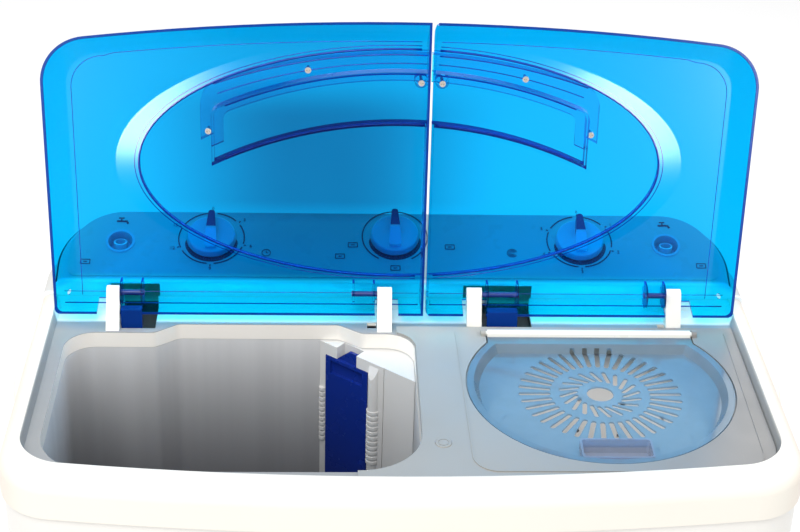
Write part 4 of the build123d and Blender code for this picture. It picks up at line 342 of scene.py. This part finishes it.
MATS = {
    "cream": plastic("satin_cream", (0.86, 0.81, 0.71), 0.03, 0.34, 0.10),
    # the deck and channel tones are painted shade on a cream moulding; the collar's extra brightness is
    # painted light
    "frame": top_frame_skin("top_frame_skin", (0.86, 0.82, 0.74), (0.86, 0.78, 0.69), (0.36, 0.35, 0.33),
                            (0.25, 0.29, 0.32), (1.0, 0.95, 0.87)),
    "cabinet": plastic("cabinet_white", (0.82, 0.80, 0.76), 0.03, 0.30, 0.10),
    "base": plastic("base_grey", (0.42, 0.43, 0.44), 0.08, 0.5, 0.3),
    # painted shade: the plate darkens towards the right
    "plate": light_and_shade_gradient("plate_blue_grey", (0.40, 0.39, 0.355), (0.265, 0.25, 0.235), 0, 0.03, 0.36),
    # painted light: the panel's front wall is far paler than its slope
    "panel": light_and_shade_gradient("panel_pale", (1.0, 0.99, 0.97), (0.66, 0.65, 0.62), 1, 0.134, 0.139, 0.34),
    "film": plastic("panel_film", (0.56, 0.62, 0.56), 0.05, 0.28, 0.05, coat=0.3),
    "knob": plastic("knob_grey", (0.62, 0.66, 0.70), 0.04, 0.25, 0.05, coat=0.3),
    "wash_knob": knob_skin("knob_wash", WASH_SPOT[1]),
    "drain_knob": knob_skin("knob_drain", DRAIN_SPOT[1]),
    "spin_knob": knob_skin("knob_spin", SPIN_SPOT[1]),
    "pin": plastic("pin_deep_blue", (0.005, 0.03, 0.20), 0.08, 0.3, 0.1),
    "ink": plastic("ink_dark", (0.03, 0.05, 0.10), 0.05, 0.4, 0.02),
    "post": plastic("post_cream", (0.90, 0.87, 0.80), 0.03, 0.30, 0.08),
    "dark": plastic("dark_moulding", (0.012, 0.03, 0.035), 0.1, 0.4, 0.15),
    # painted shade: the filter darkens towards its foot, deep in the tub
    "navy": light_and_shade_gradient("filter_navy", (0.012, 0.016, 0.075), (0.005, 0.026, 0.245), 2, 0.50, 0.78, 0.24),
    "rubber": plastic("rubber_black", (0.02, 0.02, 0.021), 0.15, 0.6, 0.4, 500),
    "pulsator": plastic("pulsator_blue", (0.10, 0.14, 0.24), 0.06, 0.3, 0.06),
    "basket": plastic("basket_white", (0.52, 0.50, 0.48), 0.04, 0.35, 0.10),
    # painted shade: the housing darkens towards its foot, deep in the tub
    "housing": light_and_shade_gradient("housing_grey", (0.26, 0.26, 0.27), (0.74, 0.73, 0.71), 2, 0.52, 0.80),
    "drain": plastic("drain_grey", (0.30, 0.31, 0.32), 0.08, 0.45, 0.2),
    "steel": metal("screw_steel", (0.72, 0.66, 0.60), 0.22),
    "motor": metal("motor_cast", (0.36, 0.37, 0.38), 0.5, scale=180.0, bump=0.4),
    "zinc": metal("zinc_plate", (0.55, 0.56, 0.55), 0.35, (1, 12, 1), 120.0),
    # the tubs' dark lower tones are painted shade deep inside them
    "tub": tub_grey("tub_grey", (0.74, 0.735, 0.73), (0.07, 0.07, 0.08), 0.80, 0.40, 3.0),
    "spin_tub": tub_grey("spin_tub_grey", (0.45, 0.46, 0.48), (0.2, 0.2, 0.21), 0.80, 0.40),
    "lid": lid_blue("lid_blue", (0.020, 0.66, 0.955), (0.01, 0.12, 0.48)),
    "handle": lid_blue("lid_handle_blue", (0.22, 0.92, 1.0), (0.02, 0.20, 0.62), 0.15),
    "bead": royal_bead("lid_line_blue"),
    "cover": clear_plastic("cover_pale_blue", (0.62, 0.80, 0.90), (0.40, 0.50, 0.58), 0.46),
    "cup": clear_plastic("cup_violet_grey", (0.74, 0.80, 0.90), (0.50, 0.54, 0.64), 0.42),
}

LOOKS = {
    "feet": "rubber", "base_frame": "base", "cabinet": "cabinet", "rear_cover": "base",
    # the hinge pocket liners take the near-black moulding as painted shade in the pockets
    "rear_cover_screws": "steel", "top_frame": "frame", "hinge_pocket_liners": "dark", "side_grips": "cream",
    "spin_deck_plate": "plate", "deck_screw_cap": "plate", "spin_cover": "cover", "spin_cover_cup": "cup",
    "spin_cover_hinge_bar": "post", "control_panel": "panel", "fascia": "film",
    "wash_timer_knob": "wash_knob", "drain_selector_knob": "drain_knob", "spin_timer_knob": "spin_knob",
    "wash_timer": "dark", "drain_selector": "dark", "spin_timer": "dark",
    "wash_water_inlet": "knob", "spin_water_inlet": "knob", "wash_lid": "lid", "spin_lid": "lid",
    "wash_lid_handle": "handle", "spin_lid_handle": "handle", "wash_lid_screws": "steel",
    "spin_lid_screws": "steel", "hinge_posts": "post", "hinge_pins": "pin", "wash_tub": "tub",
    "pulsator": "pulsator", "pulsator_screw": "steel", "wash_shaft": "steel", "filter_housing": "housing",
    "lint_filter": "navy", "spin_outer_tub": "spin_tub", "spin_seal": "rubber", "spin_basket": "basket",
    "spin_shaft": "steel", "spin_motor": "motor", "spin_motor_mounts": "rubber", "brake_drum": "zinc",
    "brake_bracket": "zinc", "brake_lever": "zinc", "drive_chassis": "zinc", "chassis_bolts": "steel",
    "gearbox": "motor", "wash_motor": "motor", "wash_motor_shaft": "steel", "wash_motor_pulley": "dark",
    "large_pulley": "dark", "drive_belt": "rubber", "drain_valve_body": "drain", "drain_pipes": "rubber",
    "drain_outlet": "drain", "drain_valve_plunger": "drain", "capacitor": "motor", "lid_switch": "dark",
}
for node, look in LOOKS.items():
    mesh = NODES[node].data
    mesh.materials.clear()
    mesh.materials.append(MATS[look])


# ---------------------------------------------------------------- lines moulded in the lids
def mesh_piece(name, build, look, body):
    """New piece from a bmesh builder, riding a body."""
    mesh = bpy.data.meshes.new(name)
    bm = bmesh.new()
    build(bm)
    bmesh.ops.recalc_face_normals(bm, faces=bm.faces)
    bm.to_mesh(mesh)
    bm.free()
    for face in mesh.polygons:
        face.use_smooth = True
    mesh.materials.append(MATS[look])
    piece = bpy.data.objects.new(name, mesh)
    bpy.context.scene.collection.objects.link(piece)
    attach(piece, body)


def lid_point(x, s, h):
    """Point of the open lids: x across, s from their rear edge, h above their rim plane."""
    return REAR_EDGE + Vector((x, 0, 0)) + s * LID_UP + h * LID_OUT


def tube(bm, points, radius, sides=8):
    """Round tube along points, closed at both ends."""
    count = len(points)
    rings = []
    for i, point in enumerate(points):
        back = points[max(i - 1, 0)]
        ahead = points[min(i + 1, count - 1)]
        along = (ahead - back).normalized()
        side = along.cross(LID_OUT).normalized()
        over = side.cross(along)
        spokes = [cos(a) * side + sin(a) * over for a in (2 * pi * k / sides for k in range(sides))]
        rings.append([bm.verts.new(point + radius * spoke) for spoke in spokes])
    for a, b in zip(rings, rings[1:]):
        for k in range(sides):
            bm.faces.new((a[k], a[(k + 1) % sides], b[(k + 1) % sides], b[k]))
    bm.faces.new(rings[0])
    bm.faces.new(rings[-1])


WALL_CLEAR = 0.0022         # lines stop this far from the split
JOIN = 0.02                 # runs whose ends are this near are one run


def on_side(points, side):
    """The runs of points that lie on one lid's side of the split."""
    edge = SPLIT_X + side * (SPLIT_GAP / 2 + WALL_CLEAR)
    runs, run = [], []
    for point in points:
        if side * (point.x - edge) > 0:
            run.append(point)
        elif run:
            runs.append(run)
            run = []
    if run:
        runs.append(run)
    if len(runs) > 1 and (runs[0][0] - runs[-1][-1]).length < JOIN:
        runs[0] = runs.pop() + runs[0]
    return [run for run in runs if len(run) > 2]


def ellipse_line(grow, height, count=180):
    """Points round the ellipse in the lids' dish."""
    long, short = ELLIPSE_A + grow, ELLIPSE_B + grow * 0.8
    return [lid_point(ELLIPSE_X + long * cos(a), ELLIPSE_S + short * sin(a), height)
            for a in (2 * pi * i / count for i in range(count))]


def arc_line(top, radius, half, height, count=60):
    """Points along an arc that sags from its top to both ends."""
    xs = [half * (2 * i / count - 1) for i in range(count + 1)]
    return [lid_point(x, top - radius + (radius * radius - x * x) ** 0.5, height) for x in xs]


CREASE_FOOT, CREASE_R = 0.012, 0.034


def crease_line(inset, height, steps=40, turn_steps=10, front_steps=60):
    """Points along the soft crease that follows the lids' walls: up one side, over the front and down."""
    half = LID_HALF_W - inset
    inner = half - CREASE_R

    def front(x):
        return LID_LENGTH - inset - (LID_BOW_R - (LID_BOW_R * LID_BOW_R - x * x) ** 0.5)

    top = front(inner) - 0.002
    rise = top - CREASE_R - CREASE_FOOT
    path = [(-half, CREASE_FOOT + rise * i / steps) for i in range(steps)]
    path += [(-half + CREASE_R * (1 - cos(a)), top - CREASE_R + CREASE_R * sin(a))
             for a in (pi / 2 * i / turn_steps for i in range(turn_steps + 1))]
    middle = [(x, front(x)) for x in (inner * (2 * i / front_steps - 1) for i in range(1, front_steps))]
    right = [(-x, s) for x, s in reversed(path)]
    return [lid_point(x, s, height) for x, s in path + middle + right]


# each line's points and its radius
LINES = {
    "ellipse": (ellipse_line(0.0, 0.0196), 0.00115),
    "ellipse_fine": (ellipse_line(0.0046, 0.0202), 0.00045),
    "pocket_top": (arc_line(POCKET_TOP, POCKET_TOP_R, 0.178, 0.0112), 0.0008),
    "pocket_low": (arc_line(POCKET_LOW, POCKET_LOW_R, 0.178, 0.0108), 0.0014),
    "handle_top": (arc_line(HANDLE_TOP, HANDLE_TOP_R, 0.190, 0.0200), 0.0008),
    "handle_inner": (arc_line(HANDLE_MID, HANDLE_MID_R, 0.186, 0.0200), 0.00055),
    "crease": (crease_line(0.027, 0.0222), 0.00038),
}
FOOT_LINES = ((0.0030, 0.0007), (0.0165, 0.00035))      # distance from the rear edge, and radius
FOOT_H, FOOT_HALF_W, FOOT_INSET = 0.0215, 0.352, 0.006      # height, reach, and distance from the split
LIDS = {-1: "wash_lid", 1: "spin_lid"}


def lid_lines(side):
    """One lid's moulded lines, as one piece."""
    def build(bm):
        for points, thick in LINES.values():
            for run in on_side(points, side):
                tube(bm, run, thick)
        # foot of the lid, across the hinge strip
        outer, inner = side * FOOT_HALF_W, SPLIT_X + side * FOOT_INSET
        for s, thick in FOOT_LINES:
            tube(bm, [lid_point(outer + (inner - outer) * i / 20, s, FOOT_H) for i in range(21)], thick)
    mesh_piece(LIDS[side] + "_lines", build, "bead", LIDS[side] + "_body")


for lid_side in LIDS:
    lid_lines(lid_side)


# ---------------------------------------------------------------- printing on the panel
def panel_point(x, p, off):
    """Point of the panel: x across, p up its slope, off out of it."""
    return PANEL_FRONT + Vector((x, 0, 0)) + p * PANEL_UP + off * PANEL_OUT


FILM_TOP = 0.0013       # the panel's surface, from its slope
INK_T = 0.00025


def slab(bm, outline):
    """Thin raised print with the given outline, as (x, p) points."""
    low = [bm.verts.new(panel_point(x, p, FILM_TOP)) for x, p in outline]
    high = [bm.verts.new(panel_point(x, p, FILM_TOP + INK_T)) for x, p in outline]
    bm.faces.new(low)
    bm.faces.new(high)
    count = len(outline)
    for i in range(count):
        j = (i + 1) % count
        bm.faces.new((low[i], low[j], high[j], high[i]))


def ring_part(bm, centre, inner, outer, start, end, taper=False):
    """Arc of a printed ring, in degrees; a tapered one thins out towards both ends."""
    steps = max(2, int(abs(end - start) / 6))
    for i in range(steps):
        corners = []
        for k in (i, i + 1):
            a = radians(start + (end - start) * k / steps)
            grow = sin(pi * k / steps) ** 0.5 if taper else 1.0
            corners.append((a, inner, inner + max(0.0002, (outer - inner) * grow)))
        (a, ia, oa), (b, ib, ob) = corners
        outline = ((a, ia), (a, oa), (b, ob), (b, ib))
        slab(bm, [(centre[0] + r * cos(g), centre[1] + r * sin(g)) for g, r in outline])


def bar(bm, x0, p0, x1, p1, width):
    """Straight printed stroke."""
    along = Vector((x1 - x0, p1 - p0)).normalized() * width / 2
    side = Vector((-along.y, along.x))
    slab(bm, [(x0 + side.x, p0 + side.y), (x0 - side.x, p0 - side.y), (x1 - side.x, p1 - side.y),
              (x1 + side.x, p1 + side.y)])


def box_icon(bm, x, p, w=0.010, h=0.006):
    """Small outlined box with a stroke in it."""
    for x0, p0, x1, p1 in ((-1, -1, 1, -1), (1, -1, 1, 1), (1, 1, -1, 1), (-1, 1, -1, -1)):
        bar(bm, x + x0 * w / 2, p + p0 * h / 2, x + x1 * w / 2, p + p1 * h / 2, 0.0008)
    bar(bm, x - w * 0.2, p, x + w * 0.2, p, 0.0009)


def tap_icon(bm, x, p):
    """Small water tap."""
    bar(bm, x - 0.006, p, x + 0.004, p, 0.0024)
    bar(bm, x + 0.0045, p + 0.001, x + 0.0065, p - 0.0035, 0.0022)
    bar(bm, x - 0.001, p, x - 0.001, p + 0.0045, 0.0014)
    bar(bm, x - 0.004, p + 0.0045, x + 0.002, p + 0.0045, 0.0014)


def digits(text, x, p, size):
    """A number as a mesh outline, lying on the panel."""
    data = bpy.data.curves.new("digits", "FONT")
    data.body = text
    data.size = size
    data.align_x, data.align_y = "CENTER", "CENTER"
    data.extrude = INK_T / 2
    data.resolution_u = 2
    holder = bpy.data.objects.new("digits", data)
    bpy.context.scene.collection.objects.link(holder)
    bpy.context.view_layer.update()
    mesh = bpy.data.meshes.new_from_object(holder.evaluated_get(bpy.context.evaluated_depsgraph_get()))
    bpy.data.objects.remove(holder)
    place = Matrix((Vector((1, 0, 0)), PANEL_UP, PANEL_OUT)).transposed().to_4x4()
    mesh.transform(Matrix.Translation(panel_point(x, p, FILM_TOP + INK_T / 2)) @ place)
    return mesh


# each dial's centre on the panel, and the numbers round it by angle
DIALS = (
    (WASH_SPOT, [(90, "0"), (38, "3"), (-15, "6"), (-90, "9"), (-160, "12"), (155, "15")]),
    (DRAIN_SPOT, []),
    (SPIN_SPOT, [(90, "0"), (35, "1"), (-20, "2"), (-90, "3"), (-155, "4"), (155, "5")]),
)
CRESCENT_R0, CRESCENT_R1 = 0.0270, 0.0328
RING_R0, RING_R1 = 0.0350, 0.0363
TICK_R0, TICK_R1, TICK_W = 0.0368, 0.0392, 0.0012
NUMBER_RX, NUMBER_RP, NUMBER_SIZE = 0.0445, 0.0425, 0.0058
RING_ARCS = ((98, 148), (158, 202), (210, 264), (276, 340), (-12, 32), (44, 82))
PLAIN_RING = ((-60, 240),)
COIL, CLOCK = (0.128, 0.042), (-0.140, 0.040)       # signs of the spinner and of the wash timer
SIGN_W = 0.0007
BOX_SIGNS = ((-0.334, 0.026), (0.334, 0.026), (-0.046, 0.052), (0.0, 0.020), (0.060, 0.050), (-0.060, 0.036))
INLET_X, TAP_P = 0.2985, 0.083


def print_dials(bm):
    """Everything printed on the panel, as one piece."""
    for centre, numbers in DIALS:
        ring_part(bm, centre, CRESCENT_R0, CRESCENT_R1, 186, 356, taper=True)
        for start, end in RING_ARCS if numbers else PLAIN_RING:
            ring_part(bm, centre, RING_R0, RING_R1, start, end)
        cx, cp = centre
        for angle, text in numbers:
            across, up = cos(radians(angle)), sin(radians(angle))
            (x0, p0), (x1, p1) = ((cx + r * across, cp + r * up) for r in (TICK_R0, TICK_R1))
            bar(bm, x0, p0, x1, p1, TICK_W)
            mark = digits(text, cx + NUMBER_RX * across, cp + NUMBER_RP * up, NUMBER_SIZE)
            bm.from_mesh(mesh=mark)
            bpy.data.meshes.remove(mark)
    for x in (-INLET_X, INLET_X):
        tap_icon(bm, x, TAP_P)
    for x, p in BOX_SIGNS:
        box_icon(bm, x, p)
    for r in (0.0016, 0.0033, 0.0050):
        ring_part(bm, COIL, r, r + SIGN_W, 20, 330)
    ring_part(bm, CLOCK, 0.0042, 0.0050, 0, 360)
    bar(bm, *CLOCK, CLOCK[0], CLOCK[1] + 0.0032, SIGN_W)
    bar(bm, *CLOCK, CLOCK[0] + 0.0022, CLOCK[1], SIGN_W)


mesh_piece("panel_print", print_dials, "ink", BODY)


# ---------------------------------------------------------------- stage, light, camera
floor_mesh = bpy.data.meshes.new("floor")
bm = bmesh.new()
bmesh.ops.create_grid(bm, x_segments=1, y_segments=1, size=12)
bm.to_mesh(floor_mesh)
bm.free()
floor = bpy.data.objects.new("floor", floor_mesh)
bpy.context.scene.collection.objects.link(floor)
t = Tree("floor_white")
floor_mesh.materials.append(t.finish(t.add("ShaderNodeBsdfDiffuse", in_Color=(0.93, 0.93, 0.93))))

world = bpy.data.worlds.new("studio")
world.use_nodes = True
sky = world.node_tree.nodes["Background"]
sky.inputs["Color"].default_value = (1.0, 1.0, 1.0, 1.0)
sky.inputs["Strength"].default_value = 0.9
bpy.context.scene.world = world


def softbox(name, place, aim, width, height, watts):
    """Rectangular area light aimed at a point."""
    data = bpy.data.lights.new(name, "AREA")
    data.shape = "RECTANGLE"
    data.size, data.size_y = width, height
    data.energy = watts
    lamp = bpy.data.objects.new(name, data)
    lamp.location = place
    lamp.rotation_euler = (Vector(aim) - Vector(place)).to_track_quat("-Z", "Y").to_euler()
    bpy.context.scene.collection.objects.link(lamp)
    return lamp


softbox("key", (-0.6, -1.6, 3.2), (0, 0, 0.8), 1.6, 1.2, 46)
softbox("rear_fill", (0.3, 2.4, 2.6), (0, 0.1, 0.8), 2.4, 1.2, 30)

# a small lamp in the spinner, so that its basket is seen through the cover's slots
spinner = Vector(JOINTS["basket_spin"]["pos_m"])
basket_lamp = softbox("basket_lamp", (spinner.x, spinner.y, 0.785), spinner, 0.12, 0.12, 0.26)
basket_lamp.visible_camera = False

# two upright softboxes that only the lids mirror, in the bevel round their ellipse
receivers = bpy.data.collections.new("lid_receivers")
for node in ("wash_lid", "spin_lid", "wash_lid_handle", "spin_lid_handle"):
    receivers.objects.link(NODES[node])
for side, name in ((-1, "glint_left"), (1, "glint_right")):
    glint = softbox(name, (side * 1.12, -1.7, 1.12), (side * 0.27, 0.12, 1.05), 0.38, 1.3, 620)
    glint.light_linking.receiver_collection = receivers
    glint.visible_diffuse = False
    glint.visible_camera = False

cam_data = bpy.data.cameras.new("camera")
cam_data.lens = 79.87
cam_data.sensor_width = 36.0
cam_data.clip_start = 0.05
camera = bpy.data.objects.new("camera", cam_data)
# the camera's own right and up directions
look_x = Vector((0.99912, -0.03250, 0.02652))
look_y = Vector((-0.00732, 0.48750, 0.87309))
look_z = look_x.cross(look_y)
turn = Matrix((look_x, look_y, look_z)).transposed().to_4x4()
camera.matrix_world = Matrix.Translation((-0.0744, -1.5229, 1.7937)) @ turn
bpy.context.scene.collection.objects.link(camera)
bpy.context.scene.camera = camera
bpy.context.scene.view_settings.view_transform = "Standard"
